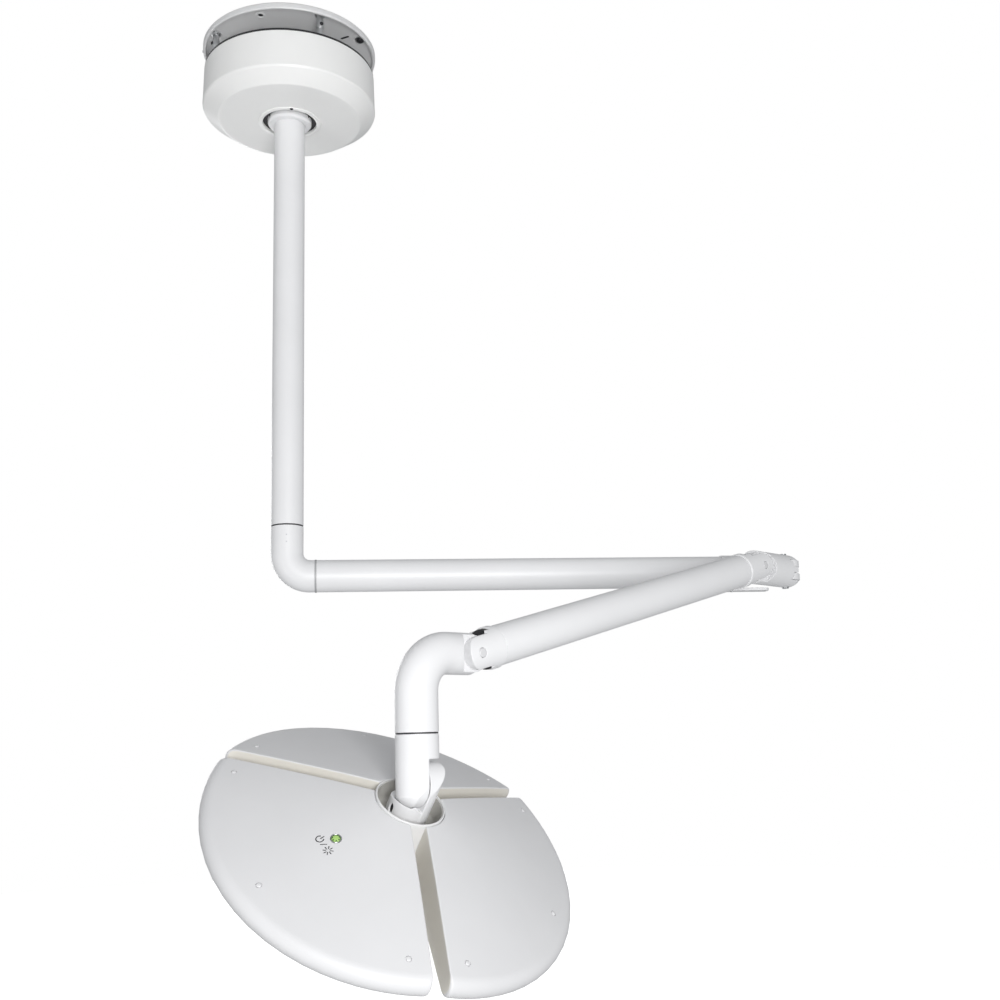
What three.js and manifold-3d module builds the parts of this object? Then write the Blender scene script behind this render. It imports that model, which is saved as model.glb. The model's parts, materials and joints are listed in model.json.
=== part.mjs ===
// Ceiling-mounted dental operating light, built as the real one comes apart:
// ceiling plate and canopy, drop tube, swing arm, knuckle, sprung balance arm,
// lower elbow, yoke and a lamp head with three petal housings.
// Millimetres, +Z up. The origin is the centre of the ceiling plate's top face.
import * as THREE from 'three';
import { mergeVertices } from 'three/addons/utils/BufferGeometryUtils.js';
import Module from 'manifold-3d';

const wasm = await Module();
wasm.setup();

// ---------------------------------------------------------------- dimensions
const GAP = 0.3; // clearance kept between neighbouring pieces
const DEG = Math.PI / 180;

// tubes
const TUBE_R = 27.5;
const TUBE_WALL = 3;
const TUBE_BORE_R = TUBE_R - TUBE_WALL;
const COLLAR_R = 29.2;

// ceiling group
const PLATE_R = 157;
const PLATE_T = 3;
const PLATE_RIM = 12;
const ANCHOR_R = 128;
const ANCHOR_HOLE_R = 4.5;
const POST_R = 5;
const POST_RING_R = 141;
const POST_LENGTH = 62;
const CANOPY_TOP_Z = -51.5;
const CANOPY_WIDE_Z = -119;
const CANOPY_FLOOR_Z = -140;
const CANOPY_INSIDE_Z = -136.7;
const CANOPY_TOP_R = 154;
const CANOPY_WIDE_R = 156;
const CANOPY_FLOOR_R = 127;
const CANOPY_WALL = 3;
const CANOPY_HOLE_R = 48.5;
const RING_R = 56.5;
const TUBE_COLLAR_R = 39.5;
const SOCKET_R = 34;
const DROP_SEAM_Z = -892.5;

// swing arm
const ARM_Z = -979.1;
const ARM_REACH = 879;
const UPPER_BEND_R = 39;
const ELBOW_FACE_X = 48;
const ARM_TUBE_END_X = 760;
const ARM_COLLAR_END_X = 785;

// knuckle and its vertical pivot
const FOLD = 36.54; // degrees between the folded balance arm and the swing arm
const KNUCKLE_REACH = 100;
const PLATE_TIP_R = 26.5;
const PLATE_LOW = 5.8;
const PLATE_HIGH = 17.5;
const NECK_HALF = 16;
const LOBE_TIP_R = 21;
const MIDDLE_LOBE_HALF = 5.5;
const MIDDLE_LOBE_END = -2; // the middle lobe stops short, so the pin shows between the fingers
const SWING_PIN_R = 6;
const SWEEP = 255; // degrees of side opening for the arm's plates
const SLOT_PLAY = 0.6;

// horizontal hinges at both ends of the balance arm
const DROOP = 14.04; // degrees below level at rest
const BALANCE_REACH = 694.5;
const TONGUE_HALF = 13;
const TONGUE_TIP_R = 24;
const SHOULDER_R = 32;
const EAR_R = 21.5;
const SLOT_DEPTH = 34;
const COLLAR_END = 45.5;
const HINGE_PIN_R = 6;
const CAP_R = 8;

// lower elbow and yoke
const ELBOW_REACH = 90.5;
const LOWER_BEND_R = 50;
const YOKE_SEAM_DROP = 100.6;
const YOKE_CUT_DROP = 31.5;
const TILT_DROP = 62.4;
const LAP_FACE = 0.9; // each half stops this far from the middle, and a friction disc fills the gap
const DISC_HALF = 0.6;
const YOKE_HEADING = 31.04; // degrees, direction of the tilt axis in plan
const TIP_BALL_R = 31; // ball about the tilt axis's middle that rounds the yoke's tip
const TILT_PIN_R = 6;
const TILT_PIN_START = -23;
const FOOT_R = 26.5;
const FOOT_TOP = -20; // where the foot's slanting top meets the lamp's axis
const FOOT_SLANT = 0.32;
const POCKET_R = 28.3;
const POCKET_BALL_R = 32;
const NOTCH_LOW = -24;
const NOTCH_LEAN = 39.4; // degrees
const EAR_LOW = -36;
const TILT = 37.82; // degrees from level at rest

// lamp head, measured from the tilt axis along the lamp's own axis
const RIM_DROP = 93.6;
const LAMP_R = 245;
const DOME = 78.2;
const DOME_POWER = 1.125;
const FLATNESS = 0.406;
const EDGE_R = 15;
const CHANNEL = 20.5;
const FIRST_CHANNEL = 134.44;
const UNDER_SLOPE = 0.1425;
const COVER_WALL = 2.5;
const HUB_R = 43.4;
const HUB_OUTER_R = 45.8;
const PETAL_INNER_R = 46.3;
const WELL_DEPTH = 30;
const BUTTON_AT_R = 116;
const BUTTON_R = 5.2;

const AROUND = 24; // facets round a tube

// ------------------------------------------------------------------ materials
const finish = (color, roughness, metalness) =>
  new THREE.MeshStandardMaterial({ color, roughness, metalness });
const whitePaint = finish(0xf1f1f0, 0.35, 0.0);
const whitePlastic = finish(0xebebea, 0.42, 0.0);
const steel = finish(0x9a9c9e, 0.35, 1.0);
const aluminium = finish(0xc2c4c6, 0.45, 0.9);
const bronze = finish(0xa8834a, 0.4, 0.9);
const blackPlastic = finish(0x202124, 0.5, 0.0);
const circuitGreen = finish(0x1d5b3a, 0.5, 0.1);
const clearCover = finish(0xdfe9ee, 0.08, 0.0);
const greyCap = finish(0xd9dadb, 0.4, 0.0);
const greenButton = finish(0x67c45a, 0.3, 0.0);

// -------------------------------------------------------------- solid helpers
function toSolid(geometry) {
  const bare = geometry.clone();
  for (const name of Object.keys(bare.attributes)) {
    if (name !== 'position') bare.deleteAttribute(name);
  }
  const welded = mergeVertices(bare, 1e-4);
  return new wasm.Manifold(new wasm.Mesh({
    numProp: 3,
    vertProperties: new Float32Array(welded.attributes.position.array),
    triVerts: new Uint32Array(welded.index.array),
  }));
}

function toGeometry(solid) {
  const { vertProperties, triVerts } = solid.getMesh();
  const geometry = new THREE.BufferGeometry();
  geometry.setAttribute('position', new THREE.Float32BufferAttribute(vertProperties, 3));
  geometry.setIndex(Array.from(triVerts));
  geometry.computeVertexNormals();
  return geometry;
}

const join = (first, ...rest) =>
  toGeometry(rest.reduce((whole, piece) => whole.add(toSolid(piece)), toSolid(first)));
const cut = (first, ...rest) =>
  toGeometry(rest.reduce((whole, piece) => whole.subtract(toSolid(piece)), toSolid(first)));
const common = (first, second) => toGeometry(toSolid(first).intersect(toSolid(second)));

// Solid or ring of revolution about Z from [radius, height] pairs in order.
function turned(outline, segments = AROUND) {
  const points = outline.map(([radius, height]) => new THREE.Vector2(radius, height));
  const upward = THREE.ShapeUtils.area(points) > 0;
  const ordered = upward ? points : points.reverse();
  const closed = ordered[0].x > 0 || ordered.at(-1).x > 0;
  if (closed) ordered.push(ordered[0].clone());
  return new THREE.LatheGeometry(ordered, segments).rotateX(Math.PI / 2);
}

const rod = (radius, low, high, segments = AROUND) =>
  turned([[0, low], [radius, low], [radius, high], [0, high]], segments);

const sleeve = (outer, inner, low, high, segments = AROUND) =>
  turned([[inner, low], [outer, low], [outer, high], [inner, high]], segments);

const ball = (radius) => new THREE.SphereGeometry(radius, 30, 18);

const alongX = (geometry) => geometry.rotateY(Math.PI / 2);
const alongY = (geometry) => geometry.rotateX(-Math.PI / 2);

function box(lowX, highX, lowY, highY, lowZ, highZ) {
  return new THREE.BoxGeometry(highX - lowX, highY - lowY, highZ - lowZ)
    .translate((lowX + highX) / 2, (lowY + highY) / 2, (lowZ + highZ) / 2);
}

// Plate with a plan outline in XY, extruded from low to high.
function plate(shape, low, high, curveSegments = 12) {
  return new THREE.ExtrudeGeometry(shape, { depth: high - low, bevelEnabled: false, curveSegments })
    .translate(0, 0, low);
}

// A round bar swept along a path in the given number of steps.
function sweep(path, radius, steps, sides = AROUND) {
  const section = new THREE.Shape().absarc(0, 0, radius, 0, 2 * Math.PI, false);
  return new THREE.ExtrudeGeometry(section,
    { steps, extrudePath: path, bevelEnabled: false, curveSegments: sides / 2 });
}

// Centre line of an elbow: one step for each straight and the rest for the bend.
class ElbowLine extends THREE.Curve {
  constructor(start, corner, end, bendRadius, steps) {
    super();
    const toStart = start.clone().sub(corner).normalize();
    const toEnd = end.clone().sub(corner).normalize();
    const bendStart = corner.clone().addScaledVector(toStart, bendRadius);
    const bendEnd = corner.clone().addScaledVector(toEnd, bendRadius);
    const centre = bendStart.clone().addScaledVector(toEnd, bendRadius);
    Object.assign(this, { start, end, bendRadius, steps, toStart, toEnd, bendStart, bendEnd, centre });
  }

  getPoint(t, target = new THREE.Vector3()) {
    const station = t * this.steps;
    if (station < 1) return target.lerpVectors(this.start, this.bendStart, station);
    const left = this.steps - station;
    if (left < 1) return target.lerpVectors(this.end, this.bendEnd, left);
    const angle = (Math.PI / 2) * (station - 1) / (this.steps - 2);
    return target.copy(this.centre)
      .addScaledVector(this.toEnd, -this.bendRadius * Math.cos(angle))
      .addScaledVector(this.toStart, -this.bendRadius * Math.sin(angle));
  }

  getUtoTmapping(u) {
    return u;
  }
}

const BEND_STEPS = 8;
const elbow90 = (start, corner, end, bendRadius, radius) => sweep(
  new ElbowLine(new THREE.Vector3(...start), new THREE.Vector3(...corner),
    new THREE.Vector3(...end), bendRadius, BEND_STEPS), radius, BEND_STEPS);

function named(name, geometry, material) {
  const mesh = new THREE.Mesh(geometry, material);
  mesh.name = name;
  return mesh;
}

function group(...children) {
  const holder = new THREE.Group();
  if (children.length) holder.add(...children);
  return holder;
}

// --------------------------------------------------------------- ceiling group
const ANCHOR_ANGLES = [-111, 9, 129];
const POST_ANGLES = [-156, -66, 24, 114];
const polar = (radius, degrees) => [radius * Math.cos(degrees * DEG), radius * Math.sin(degrees * DEG)];

function ceilingPlate() {
  const pan = turned([
    [0, -PLATE_T], [PLATE_R - 7, -PLATE_T], [PLATE_R - 5, -PLATE_T - 1.5], [PLATE_R - 5, -PLATE_RIM],
    [PLATE_R - 1.5, -PLATE_RIM], [PLATE_R, -PLATE_RIM + 2], [PLATE_R, -3], [PLATE_R - 2.5, 0], [0, 0],
  ], 40);
  const holes = ANCHOR_ANGLES.map((angle) =>
    rod(ANCHOR_HOLE_R, -20, 10, 20).translate(...polar(ANCHOR_R, angle), 0));
  const cableHole = rod(11, -20, 10, 16).translate(0, 62, 0);
  const slot = box(-9, 9, -3, 3, -20, 10).rotateZ(-32 * DEG).translate(...polar(119, -32), 0);
  return cut(pan, ...holes, cableHole, slot);
}

// Load-bearing socket bolted under the plate; the drop tube hangs in it.
function mountSocket() {
  const top = -PLATE_T - GAP;
  return cut(turned([
    [0, top], [75, top], [75, top - 8], [SOCKET_R + 4, top - 8], [SOCKET_R, top - 14],
    [SOCKET_R, -96], [TUBE_R + GAP, -96], [TUBE_R + GAP, -22], [0, -22],
  ], 32), wireWindow());
}

const canopyPost = (angle) =>
  rod(POST_R, -PLATE_T - GAP - POST_LENGTH, -PLATE_T - GAP, 12).translate(...polar(POST_RING_R, angle), 0);

function canopyCover() {
  const inner = CANOPY_WALL;
  return turned([
    [CANOPY_TOP_R, CANOPY_TOP_Z], [CANOPY_WIDE_R - 0.6, CANOPY_WIDE_Z + 12],
    [CANOPY_WIDE_R, CANOPY_WIDE_Z + 3], [CANOPY_WIDE_R - 1.8, CANOPY_WIDE_Z - 2],
    [CANOPY_FLOOR_R + 2, CANOPY_FLOOR_Z + 0.6], [CANOPY_FLOOR_R - 2, CANOPY_FLOOR_Z],
    [CANOPY_HOLE_R, CANOPY_FLOOR_Z], [CANOPY_HOLE_R, CANOPY_FLOOR_Z + inner],
    [CANOPY_FLOOR_R - 2.6, CANOPY_FLOOR_Z + inner],
    [CANOPY_WIDE_R - 4.8, CANOPY_WIDE_Z], [CANOPY_WIDE_R - inner, CANOPY_WIDE_Z + 6],
    [CANOPY_TOP_R - inner, CANOPY_TOP_Z],
  ], 40);
}

const canopyRing = () => turned([
  [CANOPY_HOLE_R, CANOPY_FLOOR_Z - GAP], [RING_R, CANOPY_FLOOR_Z - GAP],
  [RING_R - 2, CANOPY_FLOOR_Z - 3], [CANOPY_HOLE_R, CANOPY_FLOOR_Z - 3],
], 30);

const tubeCollar = () => turned([
  [TUBE_R + GAP, -126], [TUBE_COLLAR_R, -126], [TUBE_COLLAR_R, -144], [TUBE_COLLAR_R - 3, -148],
  [TUBE_R + GAP, -148],
]);

// Driver and terminal block stand on the canopy's floor.
const driverBox = () =>
  cut(box(54, 96, -58, 58, CANOPY_INSIDE_Z, -106), box(90, 100, -14, 14, -126, -116));

const terminalBlock = () =>
  join(box(-92, -62, -24, 24, CANOPY_INSIDE_Z, -120), box(-88, -66, -20, 20, -121, -112));

// The lead enters the tube through this window in the socket and the tube.
const wireWindow = () => rod(8, 0, 60, 16).rotateY(Math.PI / 2).translate(0, 0, -62);

const dropTube = () => cut(sleeve(TUBE_R, TUBE_BORE_R, DROP_SEAM_Z, -22 - GAP), wireWindow());

// Hollow pivot shaft: a flange and plug in the tube above, a journal in the elbow below.
function pivotSpindle(seamZ) {
  const plug = TUBE_BORE_R - GAP;
  return turned([
    [8, seamZ + 46], [plug, seamZ + 46], [plug, seamZ + GAP], [17, seamZ + GAP],
    [17, seamZ - 38], [20.5, seamZ - 38], [20.5, seamZ - 42], [8, seamZ - 42],
  ], 24);
}

const pivotBush = (seamZ) => sleeve(TUBE_BORE_R - GAP, 17 + GAP, seamZ - 36, seamZ - 4, 24);

// ------------------------------------------------------------------ swing arm
function upperElbow() {
  const top = DROP_SEAM_Z - 0.8 - ARM_Z;
  const bend = (margin, radius) =>
    elbow90([0, 0, top + margin], [0, 0, 0], [ELBOW_FACE_X + margin, 0, 0], UPPER_BEND_R, radius);
  return cut(bend(0, TUBE_R), bend(1, TUBE_BORE_R));
}

const swingArmTube = () =>
  alongX(sleeve(TUBE_R, TUBE_BORE_R, ELBOW_FACE_X + 0.6, ARM_TUBE_END_X));

// End fitting of the swing arm: spigot, collar and two finger plates round the pin.
function armEndFork() {
  const spigot = alongX(rod(TUBE_BORE_R - GAP, ARM_TUBE_END_X - 30, ARM_TUBE_END_X + 2));
  const collar = alongX(turned([
    [0, ARM_TUBE_END_X + GAP], [COLLAR_R - 1, ARM_TUBE_END_X + GAP], [COLLAR_R, ARM_TUBE_END_X + 2],
    [COLLAR_R, ARM_COLLAR_END_X - 2], [COLLAR_R - 2, ARM_COLLAR_END_X], [0, ARM_COLLAR_END_X],
  ]));
  const outline = new THREE.Shape();
  outline.moveTo(ARM_COLLAR_END_X - 6, -NECK_HALF);
  outline.lineTo(ARM_REACH - 21, -NECK_HALF);
  outline.absarc(ARM_REACH, 0, PLATE_TIP_R, -143 * DEG, 143 * DEG, false);
  outline.lineTo(ARM_REACH - 21, NECK_HALF);
  outline.lineTo(ARM_COLLAR_END_X - 6, NECK_HALF);
  const pinHole = rod(SWING_PIN_R + GAP, -60, 60, 20).translate(ARM_REACH, 0, 0);
  return cut(join(spigot, collar, plate(outline, PLATE_LOW, PLATE_HIGH, 20),
    plate(outline, -PLATE_HIGH, -PLATE_LOW, 20)), pinHole);
}

function stopPlate() {
  const low = -COLLAR_R - 5.6;
  const top = -COLLAR_R - 0.6;
  const lug = new THREE.Shape();
  lug.moveTo(764, -12);
  lug.lineTo(842, -12);
  lug.lineTo(846, -8);
  lug.lineTo(846, 12);
  lug.lineTo(764, 12);
  return plate(lug, low, top);
}

// -------------------------------------------------------------------- knuckle
// Built along +X from the vertical pivot at the origin to the hinge at KNUCKLE_REACH.
function hingeTongue(body, shoulderX, direction) {
  // Cheeks cut away on both sides round the pin, tip rounded, pin bored through.
  const cheek = (side) => {
    const round = alongY(rod(SHOULDER_R, TONGUE_HALF, 60, 30));
    const open = box(0, 60, TONGUE_HALF, 60, -60, 60);
    const both = join(round, open);
    if (side < 0) both.rotateX(Math.PI);
    if (direction < 0) both.rotateZ(Math.PI);
    return both.translate(shoulderX, 0, 0);
  };
  const beyondTip = cut(
    box(0, 60, -60, 60, -60, 60),
    alongY(rod(TONGUE_TIP_R, -61, 61, 30)),
  );
  if (direction < 0) beyondTip.rotateZ(Math.PI);
  const bore = alongY(rod(HINGE_PIN_R + GAP, -60, 60, 20)).translate(shoulderX, 0, 0);
  return cut(body, cheek(1), cheek(-1), beyondTip.translate(shoulderX, 0, 0), bore);
}

function sector(radius, from, to) {
  const shape = new THREE.Shape();
  shape.moveTo(0, 0);
  shape.lineTo(...polar(radius, from));
  shape.absarc(0, 0, radius, from * DEG, to * DEG, false);
  shape.lineTo(0, 0);
  return shape;
}

function knuckleBody() {
  const barrel = alongX(turned([
    [0, -LOBE_TIP_R], [COLLAR_R - 9, -LOBE_TIP_R], [COLLAR_R - 3, -LOBE_TIP_R + 4],
    [COLLAR_R, -LOBE_TIP_R + 12], [COLLAR_R, KNUCKLE_REACH + 30], [0, KNUCKLE_REACH + 30],
  ]));
  const tongue = hingeTongue(barrel, KNUCKLE_REACH, 1);
  // Slots for the finger plates: a disc, the folded arm's own width, and the sweep it turns through.
  const openings = [PLATE_LOW, -PLATE_HIGH].flatMap((bottom) => {
    const low = bottom - SLOT_PLAY;
    const high = bottom + PLATE_HIGH - PLATE_LOW + SLOT_PLAY;
    const halfWidth = NECK_HALF + SLOT_PLAY;
    return [
      rod(PLATE_TIP_R + SLOT_PLAY, low, high, 30),
      plate(sector(70, -SWEEP, 0), low, high).rotateZ(-FOLD * DEG),
      box(0, 75, -halfWidth, halfWidth, low, high).rotateZ(-FOLD * DEG),
    ];
  });
  const gap = box(-60, MIDDLE_LOBE_END, -60, 60, -MIDDLE_LOBE_HALF, MIDDLE_LOBE_HALF);
  const bore = rod(SWING_PIN_R + GAP, -60, 60, 20);
  return cut(tongue, ...openings, gap, bore);
}

const swingPin = () => rod(SWING_PIN_R, -31, 31, 20);

// ---------------------------------------------------------------- balance arm
// Fork that wraps a tongue: pin at the origin, collar and spigot towards +X.
function hingeFork() {
  const outer = alongX(turned([
    [0, -EAR_R], [COLLAR_R, -EAR_R], [COLLAR_R, COLLAR_END - 1.5], [COLLAR_R - 1.4, COLLAR_END],
    [0, COLLAR_END],
  ]));
  const earSide = join(alongY(rod(EAR_R, -60, 60, 30)), box(0, 24, -60, 60, -EAR_R, EAR_R),
    box(22, 70, -60, 60, -60, 60));
  const shaped = common(outer, earSide);
  const slotHalf = TONGUE_HALF + GAP;
  const slot = box(-60, SLOT_DEPTH, -slotHalf, slotHalf, -60, 60);
  const spigot = alongX(sleeve(TUBE_BORE_R - GAP, 14, SLOT_DEPTH + 2, COLLAR_END + 26));
  const wireWay = alongX(rod(14, SLOT_DEPTH - 4, COLLAR_END + 30, 20));
  const pinBore = alongY(rod(HINGE_PIN_R + GAP, -60, 60, 20));
  return cut(join(cut(shaped, slot), spigot), wireWay, pinBore);
}

const hingePin = () => {
  const head = COLLAR_R + 0.8;
  return alongY(turned([
    [0, -head], [CAP_R, -head], [CAP_R, -head + 0.5], [HINGE_PIN_R, -head + 0.5],
    [HINGE_PIN_R, head - 0.5], [CAP_R, head - 0.5], [CAP_R, head], [0, head],
  ], 20));
};

const balanceTube = () =>
  alongX(sleeve(TUBE_R, TUBE_BORE_R, COLLAR_END + 0.6, BALANCE_REACH - COLLAR_END - 0.6));

// Compression spring wound round the tie rod inside the arm.
class Helix extends THREE.Curve {
  constructor(radius, start, end, turns) {
    super();
    Object.assign(this, { radius, start, end, turns });
  }

  getPoint(t, target = new THREE.Vector3()) {
    const angle = 2 * Math.PI * this.turns * t;
    return target.set(this.start + (this.end - this.start) * t,
      this.radius * Math.cos(angle), this.radius * Math.sin(angle));
  }
}
const SPRING_R = 17;
const SPRING_WIRE_R = 2.5;
const SPRING_START = 132;
const SPRING_END = 330;
const SPRING_TURNS = 9;
const balanceSpring = () =>
  sweep(new Helix(SPRING_R, SPRING_START, SPRING_END, SPRING_TURNS), SPRING_WIRE_R, SPRING_TURNS * 7, 6);

// Rod with the spring's seat and its adjusting nut.
const springRod = () => alongX(turned([
  [0, 96], [5, 96], [5, 122], [21, 122], [21, 128], [5, 128], [5, 334], [19, 334], [19, 346],
  [5, 346], [5, 600], [0, 600],
], 16));

// ---------------------------------------------------------------- lower elbow
function lowerElbow() {
  const bend = (startX, endZ, radius) =>
    elbow90([startX, 0, 0], [ELBOW_REACH, 0, 0], [ELBOW_REACH, 0, endZ], LOWER_BEND_R, radius);
  const outside = bend(-30, -YOKE_SEAM_DROP + 0.3, TUBE_R);
  const bore = bend(SHOULDER_R + 5, -YOKE_SEAM_DROP - 1, TUBE_BORE_R);
  return hingeTongue(cut(outside, bore), 0, -1);
}

// ----------------------------------------------------------------------- yoke
// Origin on the tilt axis (X). The -X half runs down past the axis, to a tip rounded about
// the axis and turned to a ball at its outer corner. The pin's bore is blind.
function yokeTube() {
  const top = TILT_DROP - 0.3;
  const cutZ = TILT_DROP - YOKE_CUT_DROP;
  const tip = common(alongX(rod(TUBE_R, -60, 0, 30)), ball(TIP_BALL_R));
  const shaped = common(rod(TUBE_R, -TUBE_R - 5, top), join(box(-60, 60, -60, 60, 0, 200), tip));
  const spindleWay = rod(TUBE_BORE_R, cutZ + 12, top + 10);
  const pinBore = alongX(rod(TILT_PIN_R + GAP, TILT_PIN_START - GAP, 60, 20));
  return cut(shaped, spindleWay, box(-LAP_FACE, 60, -60, 60, -60, cutZ), pinBore);
}

// Matching half of the lap joint on +X, running down into a round foot. The foot's slanting
// top has a pocket for the yoke's tip, a notch beside the ear and a slot for the cable.
function headBracket() {
  const footLow = -RIM_DROP + domeHeight(HUB_R, 30) - WELL_DEPTH + 0.5;
  const ear = common(
    rod(TUBE_R, EAR_LOW + 5, TUBE_R + 5),
    join(alongX(rod(TUBE_R, LAP_FACE, 60, 30)), box(LAP_FACE, 60, -60, 60, EAR_LOW, 0)),
  );
  const above = box(-60, LAP_FACE, -60, 60, 0, 60)
    .rotateX(-Math.atan(FOOT_SLANT)).translate(0, 0, FOOT_TOP);
  const notch = box(-60, 0, -60, 60, 0, 60)
    .rotateY(NOTCH_LEAN * DEG).translate(LAP_FACE, 0, NOTCH_LOW);
  const pocket = common(alongX(rod(POCKET_R, -60, LAP_FACE, 30)), ball(POCKET_BALL_R));
  const foot = cut(rod(FOOT_R, footLow, -5), above, notch, pocket);
  const pinBore = alongX(rod(TILT_PIN_R + GAP, -60, 60, 20));
  const cableSlot = rod(3.5, 5, 40, 16).scale(1.9, 1, 1)
    .rotateY(-Math.PI / 2).translate(0, 0, FOOT_TOP - 14);
  const wireWay = rod(7, footLow - 5, FOOT_TOP - 17, 16);
  return cut(join(ear, foot), pinBore, cableSlot, wireWay);
}

const frictionDisc = () => alongX(sleeve(TUBE_R - 2, TILT_PIN_R + GAP, -DISC_HALF, DISC_HALF));

const tiltPin = () => alongX(rod(TILT_PIN_R, TILT_PIN_START, TUBE_R - 1.5, 20));

const lowerSpindle = () => turned([
  [7, 44], [17, 44], [17, 6], [TUBE_BORE_R - GAP, 6], [TUBE_BORE_R - GAP, -12], [7, -12],
], 24);

// ------------------------------------------------------------------ lamp head
const RIM_STEPS = 6;
const CORNER_R = 5;
const SLICES = [-60, -59.4, -58.2, -54, -40, -27, -13, 0, 13, 27, 40, 54, 58.2, 59.4, 60];
const PLATE_SLICES = [-60, -59.4, -58.2, -50, -25, 0, 25, 50, 58.2, 59.4, 60];

// Height of the petal surface above the rim plane: part cone, part flat facet.
function domeHeight(radius, offMid) {
  const reach = radius * (1 - FLATNESS + FLATNESS * Math.cos(offMid * DEG));
  return DOME * (1 - (reach / LAMP_R) ** DOME_POWER);
}

// Height of the flat underside, which leans each petal towards the lamp's axis.
const underMid = domeHeight(LAMP_R - EDGE_R, 0) - 2 * EDGE_R;
const underHeight = (alongMid) => underMid + (LAMP_R - EDGE_R - alongMid) * UNDER_SLOPE;

// Closed body through a row of closed loops with equal counts, capped at both ends.
function loft(loops) {
  const count = loops[0].length;
  const positions = loops.flat().flatMap((point) => point.toArray());
  const index = [];
  for (let row = 0; row < loops.length - 1; row += 1) {
    for (let i = 0; i < count; i += 1) {
      const a = row * count + i;
      const b = row * count + ((i + 1) % count);
      index.push(a, b, a + count, b, b + count, a + count);
    }
  }
  const flat = loops[0].map((point) => new THREE.Vector2(Math.hypot(point.x, point.y), point.z));
  const turn = Math.sign(THREE.ShapeUtils.area(flat));
  const last = (loops.length - 1) * count;
  for (const face of THREE.ShapeUtils.triangulateShape(flat, [])) {
    const same = Math.sign(THREE.ShapeUtils.area(face.map((i) => flat[i]))) === turn;
    const [a, b, c] = same ? face : [...face].reverse();
    index.push(c, b, a);
    index.push(last + a, last + b, last + c);
  }
  const geometry = new THREE.BufferGeometry();
  geometry.setAttribute('position', new THREE.Float32BufferAttribute(positions, 3));
  geometry.setIndex(index);
  const volume = toSignedVolume(geometry);
  if (volume < 0) {
    geometry.setIndex(index.map((_, i) => index[i - (i % 3) + (2 - (i % 3))]));
  }
  return geometry;
}

function toSignedVolume(geometry) {
  const position = geometry.attributes.position;
  const [a, b, c] = [new THREE.Vector3(), new THREE.Vector3(), new THREE.Vector3()];
  let total = 0;
  for (let i = 0; i < geometry.index.count; i += 3) {
    a.fromBufferAttribute(position, geometry.index.array[i]);
    b.fromBufferAttribute(position, geometry.index.array[i + 1]);
    c.fromBufferAttribute(position, geometry.index.array[i + 2]);
    total += a.dot(b.cross(c)) / 6;
  }
  return total;
}

// Plan rounding of a petal's two outer corners.
function cornerTrim(arcFromEnd) {
  if (arcFromEnd >= CORNER_R) return 0;
  return CORNER_R - Math.sqrt(CORNER_R ** 2 - (CORNER_R - arcFromEnd) ** 2);
}

// A petal is lofted over slices from channel to channel; this places one slice.
// Each slice runs outwards, parallel to the channel wall at the two ends.
function petalSlice(offMid, sideInset) {
  const sideways = -(CHANNEL / 2 + sideInset) * (offMid / 60);
  const cos = Math.cos(offMid * DEG);
  const sin = Math.sin(offMid * DEG);
  return {
    rim: LAMP_R - cornerTrim((60 - Math.abs(offMid)) * DEG * LAMP_R),
    at(radius, height) {
      const along = Math.sqrt(radius * radius - sideways * sideways);
      const x = along * cos - sideways * sin;
      return new THREE.Vector3(x, along * sin + sideways * cos, height(x, radius));
    },
  };
}

// Section of the petal's outside, or of its hollow when the wall is above zero.
function petalLoop(offMid, wall) {
  const { rim, at } = petalSlice(offMid, wall);
  const top = (x, radius) => domeHeight(radius, Math.acos(Math.min(1, x / radius)) / DEG) - wall;
  const bottom = (x) => underHeight(x) + wall;
  const below = (x) => underHeight(x) - 5;
  const inner = PETAL_INNER_R + wall;
  const edge = rim - EDGE_R;
  const rimTop = at(edge, top);
  const rimLow = at(edge, bottom);
  const middle = (rimTop.z + rimLow.z) / 2;
  const points = [inner, inner + 60, inner + 120].map((radius) => at(radius, top));
  for (let i = 0; i <= RIM_STEPS; i += 1) {
    const angle = Math.PI / 2 - (Math.PI * i) / RIM_STEPS;
    points.push(at(edge + (EDGE_R - wall) * Math.cos(angle),
      () => middle + (rimTop.z - middle) * Math.sin(angle)));
  }
  if (wall > 0) points.push(at(edge, below));
  points.push(at(inner, wall > 0 ? below : bottom));
  return points;
}

const petalSolid = (wall) => loft(SLICES.map((angle) => petalLoop(angle, wall)));

function petalCover(withButton) {
  const shell = cut(petalSolid(0), petalSolid(COVER_WALL));
  if (!withButton) return shell;
  const hole = rod(BUTTON_R + 1.9, -14, 14, 20).rotateY(buttonLean)
    .translate(BUTTON_AT_R, 0, domeHeight(BUTTON_AT_R, 0));
  return cut(shell, hole);
}

// Plate that follows the leaning underside, between two heights above it.
function petalPlate(innerR, rimInset, sideInset, low, high) {
  return loft(PLATE_SLICES.map((angle) => {
    const { rim, at } = petalSlice(angle, sideInset);
    const lower = (x) => underHeight(x) + low;
    const upper = (x) => underHeight(x) + high;
    const outerR = rim - rimInset;
    return [at(innerR, lower), at(innerR, upper), at(outerR, upper), at(outerR, lower)];
  }));
}

const lensPanel = () => petalPlate(PETAL_INNER_R + 4, EDGE_R + 3, 3.2, 1, 4);
const ledBoard = () => petalPlate(70, 46, 12, 17, 18.6);
const petalCarrier = () => petalPlate(PETAL_INNER_R + 3, 40, 8, 19, 24);

const hubTop = domeHeight(HUB_R, 30);
function hubBody() {
  const floorTop = hubTop - WELL_DEPTH;
  return turned([
    [7.5, floorTop], [HUB_R - 6, floorTop], [HUB_R, floorTop + 6], [HUB_R, hubTop + 0.5],
    [HUB_R + 1.2, hubTop + 1.2], [HUB_OUTER_R, hubTop + 0.2], [HUB_OUTER_R, 3], [HUB_OUTER_R - 3, 3],
    [HUB_OUTER_R - 3, floorTop - 8], [7.5, floorTop - 8],
  ], 30);
}

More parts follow.
